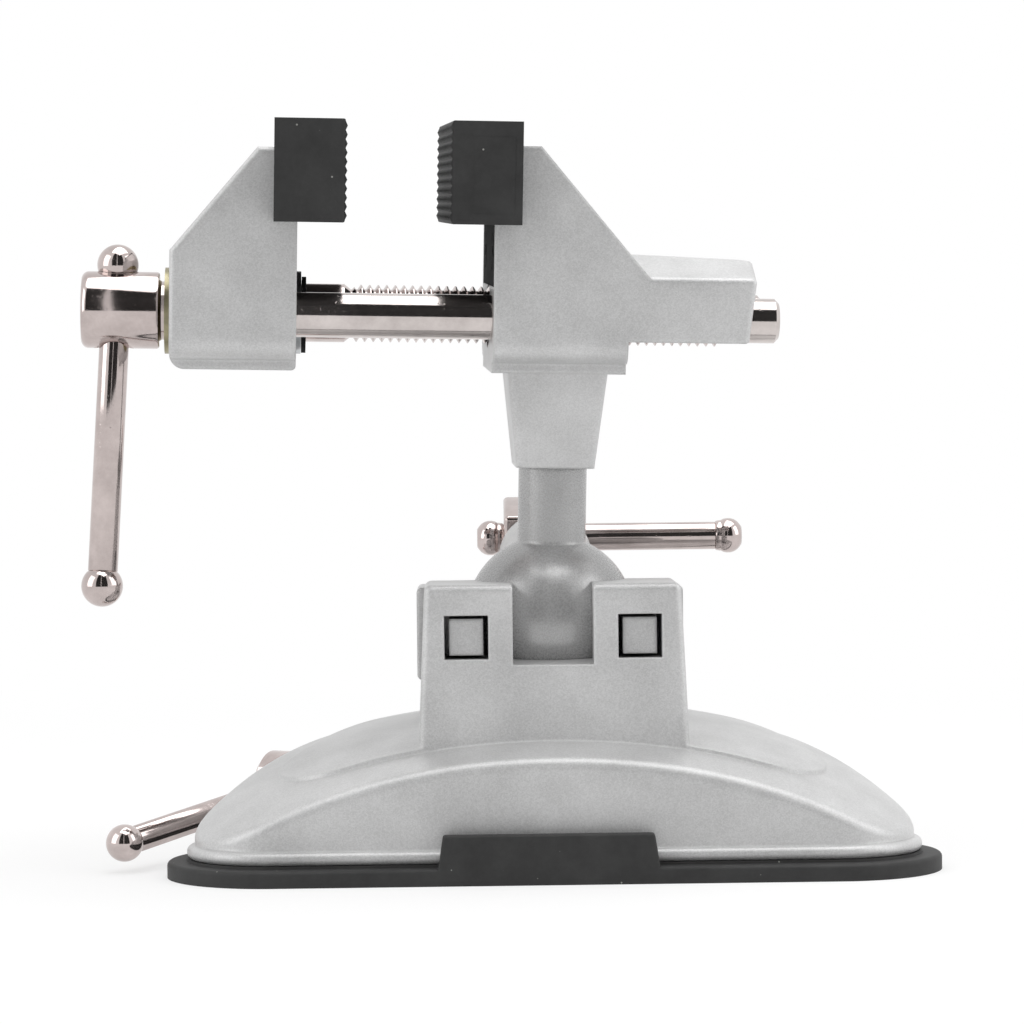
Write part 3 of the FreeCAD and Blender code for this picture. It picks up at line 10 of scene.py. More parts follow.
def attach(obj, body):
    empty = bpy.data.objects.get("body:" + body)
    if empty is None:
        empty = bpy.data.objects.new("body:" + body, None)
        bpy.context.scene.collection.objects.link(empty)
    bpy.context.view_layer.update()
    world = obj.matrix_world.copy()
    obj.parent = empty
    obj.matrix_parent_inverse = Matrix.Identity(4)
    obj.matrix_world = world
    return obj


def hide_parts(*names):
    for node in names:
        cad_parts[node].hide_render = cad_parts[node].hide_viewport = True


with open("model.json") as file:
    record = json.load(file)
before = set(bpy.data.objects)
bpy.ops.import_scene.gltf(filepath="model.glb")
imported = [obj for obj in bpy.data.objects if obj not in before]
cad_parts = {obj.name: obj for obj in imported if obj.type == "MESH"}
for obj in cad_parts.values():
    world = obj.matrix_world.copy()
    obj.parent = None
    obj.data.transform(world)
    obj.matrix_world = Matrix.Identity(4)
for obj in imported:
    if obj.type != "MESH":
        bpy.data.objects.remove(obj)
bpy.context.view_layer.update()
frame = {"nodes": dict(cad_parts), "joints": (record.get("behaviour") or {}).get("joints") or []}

bl_info = {
    "name": "Suction Base Vise",
    "version": (1, 0, 0),
    "blender": (4, 5, 0),
    "location": "View3D > Sidebar > Vise",
    "description": "Dresses the packed model of a suction base vise and sets its studio",
    "category": "Object",
}

MM = 0.001
JOINTS = {joint["name"]: joint for joint in frame["joints"]}

# Sizes that several pieces share, in millimetres.
JAW_BAR_AT = -89.5  # along the lead screw
CLAMP_BAR_AT = 47.3  # along the clamp screw
BAR_HOLE_RADIUS = 3.05
PAD_LEVEL = 91.1  # the soft jaws' middle, above the ball
CORNER_REACH = 64.7  # from the middle to the cup's corner circles
CORNER_RADIUS = 22

# The camera that the photograph's measured points give.
CAMERA_EYE = (-18.98, -739.74, 89.7)  # millimetres
CAMERA_TURN = (0.898, -1.389, 0.642)  # pan, tilt and roll in degrees
CAMERA_LENS = 123.68


# Places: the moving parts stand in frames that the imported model's joints give.

def axis_of(joint):
    return Vector(JOINTS[joint]["axis"]).normalized()


def origin_of(joint):
    return Vector(JOINTS[joint]["pos_m"])


def frame_at(origin, right, up):
    """The matrix of a frame with its X axis along right and its Z axis along up."""
    columns = Matrix((right, up.cross(right), up)).transposed()
    return Matrix.Translation(origin) @ columns.to_4x4()


BALL_CENTRE = origin_of("ball_tilt")
HEAD = frame_at(BALL_CENTRE, axis_of("jaw_slide"), axis_of("head_swivel"))
SIDE = axis_of("jaw_bar_slide").cross(axis_of("jaw_slide")).normalized()
SCREW = frame_at(
    origin_of("lead_screw_turn"), axis_of("jaw_slide"), axis_of("jaw_slide").cross(SIDE),
)
JAW_BAR = frame_at(
    SCREW @ Vector((JAW_BAR_AT * MM, 0, 0)),
    SIDE.cross(axis_of("jaw_bar_slide")), axis_of("jaw_bar_slide"),
)
CLAMP = frame_at(BALL_CENTRE, axis_of("clamp_bar_slide"), axis_of("clamp_screw_turn"))
LEVER = frame_at(
    origin_of("suction_lever_turn"), axis_of("suction_lever_turn"), axis_of("suction_bar_slide"),
)
UPRIGHT = Matrix.Identity(4)
LYING = Matrix.Rotation(math.radians(90), 4, "Y")


def shift(x=0.0, y=0.0, z=0.0):
    """A shift in millimetres."""
    return Matrix.Translation(Vector((x, y, z)) * MM)


# Modelling by hand: a primitive is added, shaped in edit mode and finished with modifiers.

def clear_selection():
    if bpy.context.object and bpy.context.object.mode != "OBJECT":
        bpy.ops.object.mode_set(mode="OBJECT")
    bpy.ops.object.select_all(action="DESELECT")


def pick(piece):
    clear_selection()
    piece.select_set(True)
    bpy.context.view_layer.objects.active = piece


def edit(piece, kind="FACE"):
    """Edit mode with nothing selected."""
    pick(piece)
    bpy.ops.object.mode_set(mode="EDIT")
    bpy.ops.mesh.select_mode(type=kind)
    bpy.ops.mesh.select_all(action="DESELECT")


def select_where(piece, kind, test):
    """Selects the faces, edges or vertices whose middle, and normal for a face, pass the test."""
    edit(piece, kind)
    bpy.ops.object.mode_set(mode="OBJECT")
    mesh = piece.data
    if kind == "FACE":
        for face in mesh.polygons:
            face.select = test(face.center, face.normal)
    elif kind == "EDGE":
        for item in mesh.edges:
            first, second = (mesh.vertices[i].co for i in item.vertices)
            item.select = test((first + second) / 2, second - first)
    else:
        for vertex in mesh.vertices:
            vertex.select = test(vertex.co, vertex.normal)
    bpy.ops.object.mode_set(mode="EDIT")


def close_up(piece):
    """Merges doubles and turns all faces outwards."""
    edit(piece, "VERT")
    bpy.ops.mesh.select_all(action="SELECT")
    bpy.ops.mesh.remove_doubles(threshold=0.002 * MM)
    bpy.ops.mesh.normals_make_consistent(inside=False)
    bpy.ops.object.mode_set(mode="OBJECT")


def stand(piece, place):
    """Puts a piece in its place, and the place into its mesh."""
    pick(piece)
    piece.matrix_world = place @ piece.matrix_world
    bpy.context.view_layer.update()
    bpy.ops.object.transform_apply(location=True, rotation=True, scale=True)
    return piece


def name_piece(name):
    piece = bpy.context.active_object
    piece.name = name
    piece.data.name = name
    return piece


def turned(name, profile, place=UPRIGHT, sides=64):
    """A turned piece: a disc whose end face is extruded and resized along the profile.

    The profile gives each place along the axis and the radius there, in millimetres.
    """
    clear_selection()
    start, radius = profile[0]
    bpy.ops.mesh.primitive_circle_add(
        vertices=sides, radius=radius * MM, fill_type="NGON", location=(0, 0, start * MM),
    )
    piece = name_piece(name)
    edit(piece)
    bpy.ops.mesh.select_all(action="SELECT")
    for (low, before), (high, after) in zip(profile, profile[1:]):
        bpy.ops.mesh.extrude_region_move(TRANSFORM_OT_translate={"value": (0, 0, (high - low) * MM)})
        share = after / before
        bpy.ops.transform.resize(value=(share, share, 1), center_override=(0, 0, high * MM))
    close_up(piece)
    return stand(piece, place)


def arc(centre, radius, start, end, steps):
    """Profile points along a ball or a rounding, between two angles in degrees."""
    points = []
    for step in range(steps + 1):
        angle = math.radians(start + (end - start) * step / steps)
        points.append((centre[0] + radius * math.cos(angle), centre[1] + radius * math.sin(angle)))
    return points


def block(name, low, high, place=UPRIGHT, round_by=0.0, steps=3):
    """A cube between two corners in millimetres, with its edges bevelled."""
    clear_selection()
    middle = [(a + b) / 2 * MM for a, b in zip(low, high)]
    bpy.ops.mesh.primitive_cube_add(size=1, location=middle)
    piece = name_piece(name)
    edit(piece)
    bpy.ops.mesh.select_all(action="SELECT")
    sides = [(b - a) * MM for a, b in zip(low, high)]
    bpy.ops.transform.resize(value=sides, center_override=middle)
    if round_by:
        bpy.ops.mesh.bevel(offset=round_by * MM, segments=steps, profile=0.5)
    bpy.ops.object.mode_set(mode="OBJECT")
    return stand(piece, place)


def apply(piece, kind, **settings):
    """Adds a modifier with its settings and applies it."""
    pick(piece)
    modifier = piece.modifiers.new(kind.lower(), kind)
    for name, value in settings.items():
        setattr(modifier, name, value)
    bpy.ops.object.modifier_apply(modifier=modifier.name)


def cut(piece, *cutters):
    """Cuts other shapes out of a piece."""
    for cutter in cutters:
        apply(piece, "BOOLEAN", object=cutter, operation="DIFFERENCE", solver="EXACT")
        bpy.data.objects.remove(cutter)
    return piece


def join(piece, *others):
    pick(piece)
    for other in others:
        other.select_set(True)
    bpy.ops.object.join()
    return piece


def smooth(piece, degrees=35):
    pick(piece)
    bpy.ops.object.shade_smooth_by_angle(angle=math.radians(degrees))


def finish_piece(piece, body, nodes, material):
    """Dresses a piece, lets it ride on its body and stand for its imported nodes."""
    piece.data.materials.clear()
    piece.data.materials.append(material)
    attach(piece, body)
    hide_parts(*nodes)


def dress(material, *nodes):
    """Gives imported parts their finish; their shapes stay as they are."""
    for node in nodes:
        part = frame["nodes"][node]
        if not part.material_slots:
            part.data.materials.append(None)
        for slot in part.material_slots:
            slot.material = material


# Finishes: colours are sRGB hex values, and pattern scales come from real sizes.

def linear(shade):
    """The linear colour of an sRGB hex value."""
    parts = [int(shade[i:i + 2], 16) / 255 for i in (1, 3, 5)]
    return [part / 12.92 if part <= 0.04045 else ((part + 0.055) / 1.055) ** 2.4 for part in parts]


def add_node(tree, kind, values=None, **settings):
    """Adds a node: settings are its own, and values feed its inputs.

    A value is a number, a colour or another node's output.
    """
    node = tree.nodes.new("ShaderNode" + kind)
    for name, value in settings.items():
        setattr(node, name, value)
    for socket, value in (values or {}).items():
        if isinstance(value, bpy.types.NodeSocket):
            tree.links.new(value, node.inputs[socket])
        else:
            node.inputs[socket].default_value = value
    return node


def new_finish(name, **shader_values):
    """A material with its shader, and the object's own coordinates for its patterns."""
    material = bpy.data.materials.new(name)
    material.use_nodes = True
    tree = material.node_tree
    shader = tree.nodes["Principled BSDF"]
    for socket, value in shader_values.items():
        shader.inputs[socket.replace("_", " ")].default_value = value
    place = add_node(tree, "TexCoord").outputs["Object"]
    return material, tree, shader, place


def shades(tree, factor, *stops):
    """A colour ramp: each stop is a position and an sRGB hex value or a plain number."""
    ramp = add_node(tree, "ValToRGB", {"Fac": factor})
    elements = ramp.color_ramp.elements
    while len(elements) < len(stops):
        elements.new(0.5)
    for element, (position, shade) in zip(elements, stops):
        element.position = position
        element.color = [*(linear(shade) if isinstance(shade, str) else [shade] * 3), 1]
    return ramp.outputs["Color"]


def per_mm(size):
    """The scale of a pattern whose features are this many millimetres wide."""
    return 1 / (size * MM)


def noise(tree, place, size, detail, **more):
    """A noise pattern whose features are this many millimetres wide."""
    values = {"Vector": place, "Scale": per_mm(size), "Detail": detail, **more}
    return add_node(tree, "TexNoise", values).outputs["Fac"]


def bump(tree, shader, height, strength, depth, **more):
    """Bumps a shader's surface by a pattern, as deep as this many millimetres."""
    values = {"Strength": strength, "Distance": depth * MM, "Height": height, **more}
    bumped = add_node(tree, "Bump", values).outputs["Normal"]
    tree.links.new(bumped, shader.inputs["Normal"])


def seen_rays(tree):
    """One for rays from the camera and for those that a mirror or glass sends on."""
    paths = add_node(tree, "LightPath").outputs
    seen = add_node(
        tree, "Math", {0: paths["Is Camera Ray"], 1: paths["Is Glossy Ray"]}, operation="MAXIMUM",
    ).outputs[0]
    return add_node(tree, "Math", {0: seen, 1: paths["Is Transmission Ray"]}, operation="MAXIMUM").outputs[0]


def silver_enamel(name, dark, middle, light, roughness, flake_share, peel_depth):
    """Metallic enamel on a zinc die casting: a grey silver coat with fine flakes that glint,
    slightly clouded where it pooled, over the faint orange peel of a sprayed coat. The edges
    are painted lighter: partly bare metal where the coat wears thin, partly a painted highlight
    along the edges' rounding."""
    material, tree, shader, place = new_finish(name, Metallic=0.35, Roughness=roughness)
    # Flakes are 0.1 mm across; they are drawn 0.24 mm wide so that they show.
    flakes = add_node(tree, "TexVoronoi", {"Vector": place, "Scale": per_mm(0.24)}, feature="F1")
    clouds = noise(tree, place, 14, 3, Roughness=0.5)
    grain = noise(tree, place, 0.7, 3)
    spread = add_node(tree, "SeparateColor", {"Color": flakes.outputs["Color"]}).outputs["Red"]
    flecked = add_node(
        tree, "Mix", {"Factor": flake_share, "A": clouds, "B": spread}, data_type="FLOAT",
    ).outputs["Result"]
    coat = shades(tree, flecked, (0.25, dark), (0.5, middle), (0.78, light))
    # Painted highlight and wear: where the bevel normal turns away from the face's normal, along the edges,
    # the coat is mixed towards a pale grey. This stands partly for bare metal where the coat wears thin and
    # partly for a highlight on the edges' rounding.
    edge_radius = 1.1
    softened = add_node(tree, "Bevel", {"Radius": edge_radius * MM}, samples=6).outputs["Normal"]
    flat = add_node(tree, "NewGeometry").outputs["Normal"]
    facing = add_node(tree, "VectorMath", {0: softened, 1: flat}, operation="DOT_PRODUCT").outputs["Value"]
    rubbed_and_highlit_edge = add_node(tree, "MapRange", {
        "Value": facing, "From Min": 0.98, "From Max": 0.86, "To Min": 0.0, "To Max": 0.4,
    }).outputs["Result"]
    colour = add_node(
        tree, "Mix", {"Factor": rubbed_and_highlit_edge, "A": coat, "B": [*linear("#DADAD9"), 1]}, data_type="RGBA",
    ).outputs["Result"]
    tree.links.new(colour, shader.inputs["Base Color"])
    rough = add_node(
        tree, "MapRange", {"Value": spread, "To Min": roughness - 0.05, "To Max": roughness + 0.07},
    ).outputs["Result"]
    tree.links.new(rough, shader.inputs["Roughness"])
    bump(tree, shader, grain, 0.22, peel_depth, Normal=softened)
    return material


def nickel_plate(name, tint, roughness):
    """Bright nickel on turned steel: a warm mirror with small pits and the odd smear."""
    material, tree, shader, place = new_finish(name, Metallic=1.0, Roughness=roughness)
    smears = noise(tree, place, 6, 5, Roughness=0.65)
    pits = noise(tree, place, 0.7, 2)
    tinted = shades(tree, smears, (0.3, tint[0]), (0.7, tint[1]))
    tree.links.new(tinted, shader.inputs["Base Color"])
    rough = add_node(
        tree, "MapRange", {"Value": smears, "To Min": roughness * 0.6, "To Max": roughness * 1.6},
    ).outputs["Result"]
    tree.links.new(rough, shader.inputs["Roughness"])
    bump(tree, shader, shades(tree, pits, (0.24, 0.0), (0.34, 1.0)), 0.25, 0.03)
    return material


def moulded_rubber():
    """Black natural rubber from a mould: dull charcoal with a faint bloom, a fine grain and a
    few pale specks of dust that static holds."""
    material, tree, shader, place = new_finish(
        "Moulded black rubber", Metallic=0.0, Roughness=0.62, Specular_IOR_Level=0.35,
    )
    bloom = noise(tree, place, 7, 5, Roughness=0.7)
    grain = noise(tree, place, 0.6, 2)
    # Dust is 0.1 mm across; it is drawn up to 0.4 mm wide so that it shows.
    dust = add_node(tree, "TexVoronoi", {"Vector": place, "Scale": per_mm(4.2)}, feature="F1")
    body = shades(tree, bloom, (0.3, "#2A2A2A"), (0.7, "#363636"))
    speck = shades(tree, dust.outputs["Distance"], (0.035, 1.0), (0.05, 0.0))
    colour = add_node(
        tree, "Mix", {"Factor": speck, "A": body, "B": [*linear("#8E8E8A"), 1]}, data_type="RGBA",
    ).outputs["Result"]
    tree.links.new(colour, shader.inputs["Base Color"])
    bump(tree, shader, grain, 0.35, 0.06)
    return material


def black_oxide():
    """Black oxide on plain steel: a thin oiled coat, nearly black and dull."""
    material, tree, shader, place = new_finish(
        "Black oxide steel", Metallic=0.0, Roughness=0.7, Specular_IOR_Level=0.03,
    )
    clouds = noise(tree, place, 3, 4)
    tint = shades(tree, clouds, (0.35, "#1B1B1C"), (0.65, "#29292A"))
    tree.links.new(tint, shader.inputs["Base Color"])
    bump(tree, shader, noise(tree, place, 0.4, 2), 0.2, 0.03)
    return material


def zinc_plate(name, dark, light, roughness):
    """Zinc plate on pressed or turned steel: satin, with the cloudy tint of its passivation."""
    material, tree, shader, place = new_finish(name, Metallic=1.0, Roughness=roughness)
    clouds = noise(tree, place, 3, 4, Distortion=0.6)
    tint = shades(tree, clouds, (0.35, dark), (0.65, light))
    tree.links.new(tint, shader.inputs["Base Color"])
    bump(tree, shader, noise(tree, place, 0.4, 2), 0.2, 0.03)
    return material


def make_finishes(colours):
    """All the object's finishes, by the record's slot names."""
    casting = [to_hex(colours.casting, gain) for gain in (0.84, 1.0, 1.18)]
    ball = [to_hex(colours.ball, gain) for gain in (0.88, 1.0, 1.1)]
    return {
        # Both enamels are painted lighter along the edges, partly as wear and partly as a painted highlight.
        "silver_casting": silver_enamel("Silver enamel on die-cast zinc", *casting, 0.42, 0.3, 0.07),
        "satin_ball": silver_enamel("Silver enamel on the ball, edges rubbed and painted lighter", *ball, 0.27, 0.12, 0.13),
        "black_rubber": moulded_rubber(),
        "nickel_steel": nickel_plate("Nickel-plated turned steel", ("#B3A8A5", "#CDC1BE"), 0.08),
        "bright_rod": nickel_plate("Hard chrome on the ground rods", ("#BDB5B2", "#D3CBC8"), 0.09),
        "black_steel": black_oxide(),
        "yellow_zinc": zinc_plate("Yellow passivated zinc", "#85806A", "#A69F82", 0.38),
        "plain_steel": zinc_plate("Clear passivated zinc", "#9FA2A4", "#C3C6C8", 0.3),
        "bronze": zinc_plate("Tin bronze", "#8C6A3C", "#B98F55", 0.34),
    }


def to_hex(colour, gain):
    """A linear colour as an sRGB hex value, lighter or darker by gain."""
    parts = [min(max(part * gain, 0.0), 1.0) for part in colour]
    parts = [part * 12.92 if part <= 0.0031308 else 1.055 * part ** (1 / 2.4) - 0.055 for part in parts]
    return "#" + "".join(f"{round(part * 255):02X}" for part in parts)


class ViseSizes(bpy.types.PropertyGroup):
    """Sizes of the vise's fine shapes"""

    grip_pitch: FloatProperty(
        name="Grip pitch", description="Width of one pyramid of the soft jaws' grip",
        default=1.75 * MM, min=0.8 * MM, max=4 * MM, unit="LENGTH",
    )
    grip_depth: FloatProperty(
        name="Grip depth", description="Height of a pyramid", default=0.42 * MM, max=2 * MM, unit="LENGTH",
    )
    lead_pitch: FloatProperty(
        name="Lead screw pitch", description="Pitch of the jaw's screw thread",
        default=1.75 * MM, unit="LENGTH",
    )
    clamp_pitch: FloatProperty(
        name="Clamp screw pitch", description="Pitch of the ball clamp's screw thread",
        default=1.5 * MM, unit="LENGTH",
    )
    thread_depth: FloatProperty(
        name="Thread depth", description="Depth of a thread as a share of its pitch",
        default=0.52, min=0.2, max=0.65, subtype="FACTOR",
    )
    lip_round: FloatProperty(
        name="Lip rounding", description="Rounding of the rubber cup's edges",
        default=0.9 * MM, unit="LENGTH",
    )
    turning_steps: IntProperty(
        name="Turning steps", description="Sides of a turned piece", default=72, min=24, max=160,
    )


class ViseColours(bpy.types.PropertyGroup):
    """Colours of the vise's finishes and its studio"""

    casting: FloatVectorProperty(
        name="Castings", description="Silver enamel of the castings", subtype="COLOR",
        default=linear("#C6C6C6"), min=0, max=1,
    )
    ball: FloatVectorProperty(
        name="Ball", description="Enamel of the ball and its neck", subtype="COLOR",
        default=linear("#A8A8A8"), min=0, max=1,
    )
    floor: FloatVectorProperty(
        name="Floor", description="Colour of the floor", subtype="COLOR",
        default=linear("#F4F4F4"), min=0, max=1,
    )
    key_power: FloatProperty(
        name="Key light", description="Power of the softbox over the vise", default=9.5, min=0, unit="POWER",
    )
    side_power: FloatProperty(
        name="Side lights", description="Power of each side softbox", default=5.0, min=0, unit="POWER",
    )


class ViseOperator:
    """What the vise's operators share: their sizes and finishes, and the undo step."""

    bl_options = {"REGISTER", "UNDO"}

    def execute(self, context):
        self.build(context.scene.vise_sizes, finishes(context))
        return {"FINISHED"}


def finishes(context):
    """The finishes, made once and then found by slot."""
    if not FINISHES:
        FINISHES.update(make_finishes(context.scene.vise_colours))
    return FINISHES


FINISHES = {}


class VISE_OT_castings(ViseOperator, bpy.types.Operator):
    """Dress the castings, the ball and the parts between them"""

    bl_idname = "vise.castings"
    bl_label = "Castings"

    def build(self, sizes, finish):
        dress(finish["silver_casting"], "base_casting", "clamp_jaw", "fixed_jaw", "moving_jaw")
        dress(finish["satin_ball"], "ball_stem")


class VISE_OT_suction_cup(ViseOperator, bpy.types.Operator):
    """Model the rubber cup under the base, with its flange, release tab and sealing rings"""

    bl_idname = "vise.suction_cup"
    bl_label = "Suction cup"

    def build(self, sizes, finish):
        top = 3.3
        corners = []
        for angle in (-150, -30, 90):
            where = Matrix.Rotation(math.radians(angle), 3, "Z") @ Vector((CORNER_REACH, 0, top / 2)) * MM
            clear_selection()
            bpy.ops.mesh.primitive_cylinder_add(
                vertices=160, radius=CORNER_RADIUS * MM, depth=top * MM, location=where,
            )
            corners.append(name_piece("suction_cup_rubber"))
        cup = join(*corners)
        edit(cup, "VERT")
        bpy.ops.mesh.select_all(action="SELECT")
        bpy.ops.mesh.convex_hull()
        bpy.ops.mesh.select_all(action="SELECT")
        bpy.ops.mesh.dissolve_limited(angle_limit=math.radians(0.5))
        bpy.ops.object.mode_set(mode="OBJECT")
        stand(cup, UPRIGHT)
        select_where(cup, "EDGE", lambda middle, run: middle.z > (top - 0.01) * MM)
        bpy.ops.mesh.bevel(offset=sizes.lip_round, segments=4, profile=0.5)
        # The seat under the casting's rim stands a little over the flange.
        select_where(cup, "FACE", lambda middle, normal: normal.z > 0.99 and middle.z > (top - 0.01) * MM)
        bpy.ops.mesh.inset(thickness=3.9 * MM - sizes.lip_round)
        bpy.ops.mesh.inset(thickness=0.1 * MM, depth=0.5 * MM)
        # Two shallow grooves under the flange leave a lip that seals.
        for _ in range(2):
            select_where(cup, "FACE", lambda middle, normal: normal.z < -0.99 and middle.length < 10 * MM)
            bpy.ops.mesh.inset(thickness=1.6 * MM)
            bpy.ops.mesh.inset(thickness=0.3 * MM, depth=-0.3 * MM)
            bpy.ops.mesh.inset(thickness=0.6 * MM)
            bpy.ops.mesh.inset(thickness=0.3 * MM, depth=0.3 * MM)
        bpy.ops.object.mode_set(mode="OBJECT")
        # The front tab that the finger lifts to let the air in.
        front = -(CORNER_REACH / 2 + CORNER_RADIUS)
        tab_thickness, tab_top, tab_middle = 3, 9.9, -1.7
        taper = 20.75 / 22.15
        tab = block("release_tab", (-23.85, front, 0.6), (20.45, front + tab_thickness, tab_top))
        select_where(tab, "FACE", lambda middle, normal: normal.z > 0.9)
        middle = (tab_middle * MM, (front + tab_thickness / 2) * MM, tab_top * MM)
        bpy.ops.transform.resize(value=(taper, 1, 1), center_override=middle)
        select_where(tab, "EDGE", lambda middle, run: middle.z > 1 * MM)
        bpy.ops.mesh.bevel(offset=0.5 * MM, segments=3, profile=0.5)
        bpy.ops.object.mode_set(mode="OBJECT")
        apply(cup, "BOOLEAN", object=tab, operation="UNION", solver="EXACT")
        bpy.data.objects.remove(tab)
        # The steel disc and its rivet lie in the top, and the underside is hollow round its middle.
        hollow = turned("cup_hollow", [(-1, 34), (0.8, 33.4)], sides=96)
        hub = turned("cup_hub", [(-2, 12), (2, 12)], sides=96)
        disc_seat = turned("disc_seat", [(1.1, 5.3), (2.3, 5.3), (2.3, 30.3), (5, 30.3)], sides=96)
        cut(cup, cut(hollow, hub), disc_seat)
        close_up(cup)
        smooth(cup, 40)
        finish_piece(cup, "base", ["suction_cup"], finish["black_rubber"])


class VISE_OT_soft_jaws(ViseOperator, bpy.types.Operator):
    """Model the two rubber soft jaws with their pyramid grip"""

    bl_idname = "vise.soft_jaws"
    bl_label = "Soft jaws"

    def build(self, sizes, finish):
        for name, grip, outward, casting_top, body in (
            ("fixed_soft_pad", -23.4, -1, 96.6, "head"), ("moving_soft_pad", -43.4, 1, 95.6, "slider"),
        ):
            middle = HEAD @ (Vector((grip, 0, PAD_LEVEL)) * MM)
            place = frame_at(middle, HEAD.col[1].xyz * outward, HEAD.col[0].xyz * outward)
            pad = self.shape_pad(name + "_rubber", sizes, casting_top - PAD_LEVEL, place)
            finish_piece(pad, body, [name], finish["black_rubber"])

    def shape_pad(self, name, sizes, casting_top, place):
        """A pad whose grip looks along Z, with its top along Y."""
        width, height, thickness = 60 * MM, 20.2 * MM, 14.3 * MM
        depth = sizes.grip_depth
        across = int(width / sizes.grip_pitch - 0.2)
        along = int(height / sizes.grip_pitch - 0.2)
        clear_selection()
        bpy.ops.mesh.primitive_grid_add(
            x_subdivisions=across, y_subdivisions=along, size=1, location=(0, 0, -depth),
        )
        pad = name_piece(name)
        edit(pad)
        bpy.ops.mesh.select_all(action="SELECT")
        grip = (across * sizes.grip_pitch, along * sizes.grip_pitch, 1)
        bpy.ops.transform.resize(value=grip, center_override=(0, 0, -depth))
        bpy.ops.object.mode_set(mode="OBJECT")
        stand(pad, UPRIGHT)
        edit(pad)
        bpy.ops.mesh.select_all(action="SELECT")
        bpy.ops.mesh.poke(offset=depth * 0.98)
        bpy.ops.mesh.select_all(action="SELECT")
        bpy.ops.mesh.region_to_loop()
        # The plain border, its rounded edge and then the sides.
        wide, high = grip[0], grip[1]
        border = 0.35 * MM
        level = -depth
        for wider, higher, lower in (
            (width - 2 * border, height - 2 * border, -depth),
            (width - 0.6 * border, height - 0.6 * border, -depth - 0.3 * border),
            (width, height, -depth - border),
            (width, height, -thickness),
        ):
            bpy.ops.mesh.extrude_edges_move(TRANSFORM_OT_translate={"value": (0, 0, lower - level)})
            bpy.ops.transform.resize(value=(wider / wide, higher / high, 1), center_override=(0, 0, lower))
            wide, high, level = wider, higher, lower
        bpy.ops.mesh.edge_face_add()
        close_up(pad)
        half = 20.2
        bottom = -10.1
        cut(
            pad,
            block("casting_slot", (-half, bottom - 2, -16), (half, casting_top + 0.2, -9.6)),
            block("plate_pocket", (-28.2, -8.3, -11), (28.2, 8.6, -5.6)),
        )
        # The mould left a shallow panel on each end.
        for side in (-1, 1):
            edge = side * 30
            cut(pad, block(
                "end_panel", (min(edge, edge - side * 0.06), -8, -12.9), (max(edge, edge + side), 7.2, -4.6),
            ))
        close_up(pad)
        smooth(pad, 30)
        return stand(pad, place)


def thread(name, start, end, crest, pitch, depth, steps, chamfers=(0.8, 0.8)):
    """A closed screw thread on the Z axis, cut flat at both ends and chamfered there.

    One pitch of the thread's outline is drawn point by point and wound up by a Screw modifier.
    """
    root = crest - depth
    outline = [(root, 0.0), (root, 0.10), (crest, 0.44), (crest, 0.56), (root, 0.90), (root, 1.0)]
    clear_selection()
    bpy.ops.mesh.primitive_plane_add(size=MM)
    winding = name_piece(name)
    edit(winding, "VERT")
    bpy.ops.mesh.select_all(action="SELECT")
    bpy.ops.mesh.merge(type="CENTER")
    before = (0.0, 0.0)
    for radius, share in outline:
        point = (radius * MM, (start - 2 * pitch + share * pitch) * MM)
        move = {"value": (point[0] - before[0], 0, point[1] - before[1])}
        if before == (0.0, 0.0):
            bpy.ops.transform.translate(**move)
        else:
            bpy.ops.mesh.extrude_region_move(TRANSFORM_OT_translate=move)
        before = point
    bpy.ops.object.mode_set(mode="OBJECT")
    turns = math.ceil((end - start) / pitch) + 4
    apply(
        winding, "SCREW", axis="Z", screw_offset=pitch * MM, iterations=turns, angle=2 * math.pi,
        steps=steps, render_steps=steps, use_merge_vertices=True, merge_threshold=0.001 * MM,
        use_smooth_shade=True,
    )
    for level, outward in ((start, False), (end, True)):
        edit(winding)
        bpy.ops.mesh.select_all(action="SELECT")
        bpy.ops.mesh.bisect(
            plane_co=(0, 0, level * MM), plane_no=(0, 0, 1), use_fill=True,
            clear_outer=outward, clear_inner=not outward,
        )
    close_up(winding)
    low, high = chamfers
    hull = turned(name + "_ends", [
        (start - 1, crest - low - 1), (start + low, crest + 0.05), (end - high, crest + 0.05),
        (end + 1, crest - high - 1),
    ], sides=96)
    apply(winding, "BOOLEAN", object=hull, operation="INTERSECT", solver="EXACT")
    bpy.data.objects.remove(hull)
    return winding


def drill(piece, place, radius, reach, seat, ball):
    """A cross hole along a place's Z axis, with a seat for a ball at each end."""
    hole = turned("cross_hole", [(-reach, radius), (reach, radius)], place, 48)
    low = turned("low_seat", arc((-seat, 0), ball, 179, 1, 24), place, 48)
    high = turned("high_seat", arc((seat, 0), ball, 179, 1, 24), place, 48)
    return cut(piece, hole, low, high)


class VISE_OT_lead_screw(ViseOperator, bpy.types.Operator):
    """Model the jaw's lead screw: its wound thread, shank, clip groove and cross-drilled head"""

    bl_idname = "vise.lead_screw"
    bl_label = "Lead screw"

    def build(self, sizes, finish):
        pitch = sizes.lead_pitch / MM
        depth = pitch * sizes.thread_depth
        screw = thread("lead_screw_steel", -41.6, 34, 5.85, pitch, depth, 48, (0.9, 1.2))
        body = turned("lead_screw_shank", [
            (-96.4, 0.9), (-96.1, 1.3), (-96.1, 2.2), (-96.4, 2.6), (-96.4, 5.6),
            *arc((-94.9, 6.3), 1.5, 160, 90, 6),
            (-81.2, 7.8), (-80.8, 7.7), (-80.6, 7.4), (-80.6, 6.3), (-80.2, 5.95), (-51.95, 5.95),
            (-51.95, 4.95), (-50.95, 4.95), (-50.95, 5.95), (-43.2, 5.95), (-41.9, 4.9), (-41.0, 4.85),
        ], sides=sizes.turning_steps)
        apply(screw, "BOOLEAN", object=body, operation="UNION", solver="EXACT")
        bpy.data.objects.remove(body)
        stand(screw, SCREW @ LYING)
        drill(screw, JAW_BAR, BAR_HOLE_RADIUS, reach=10, seat=9.2, ball=4.3)
        close_up(screw)
        smooth(screw, 32)
        finish_piece(screw, "spindle", ["lead_screw"], finish["nickel_steel"])


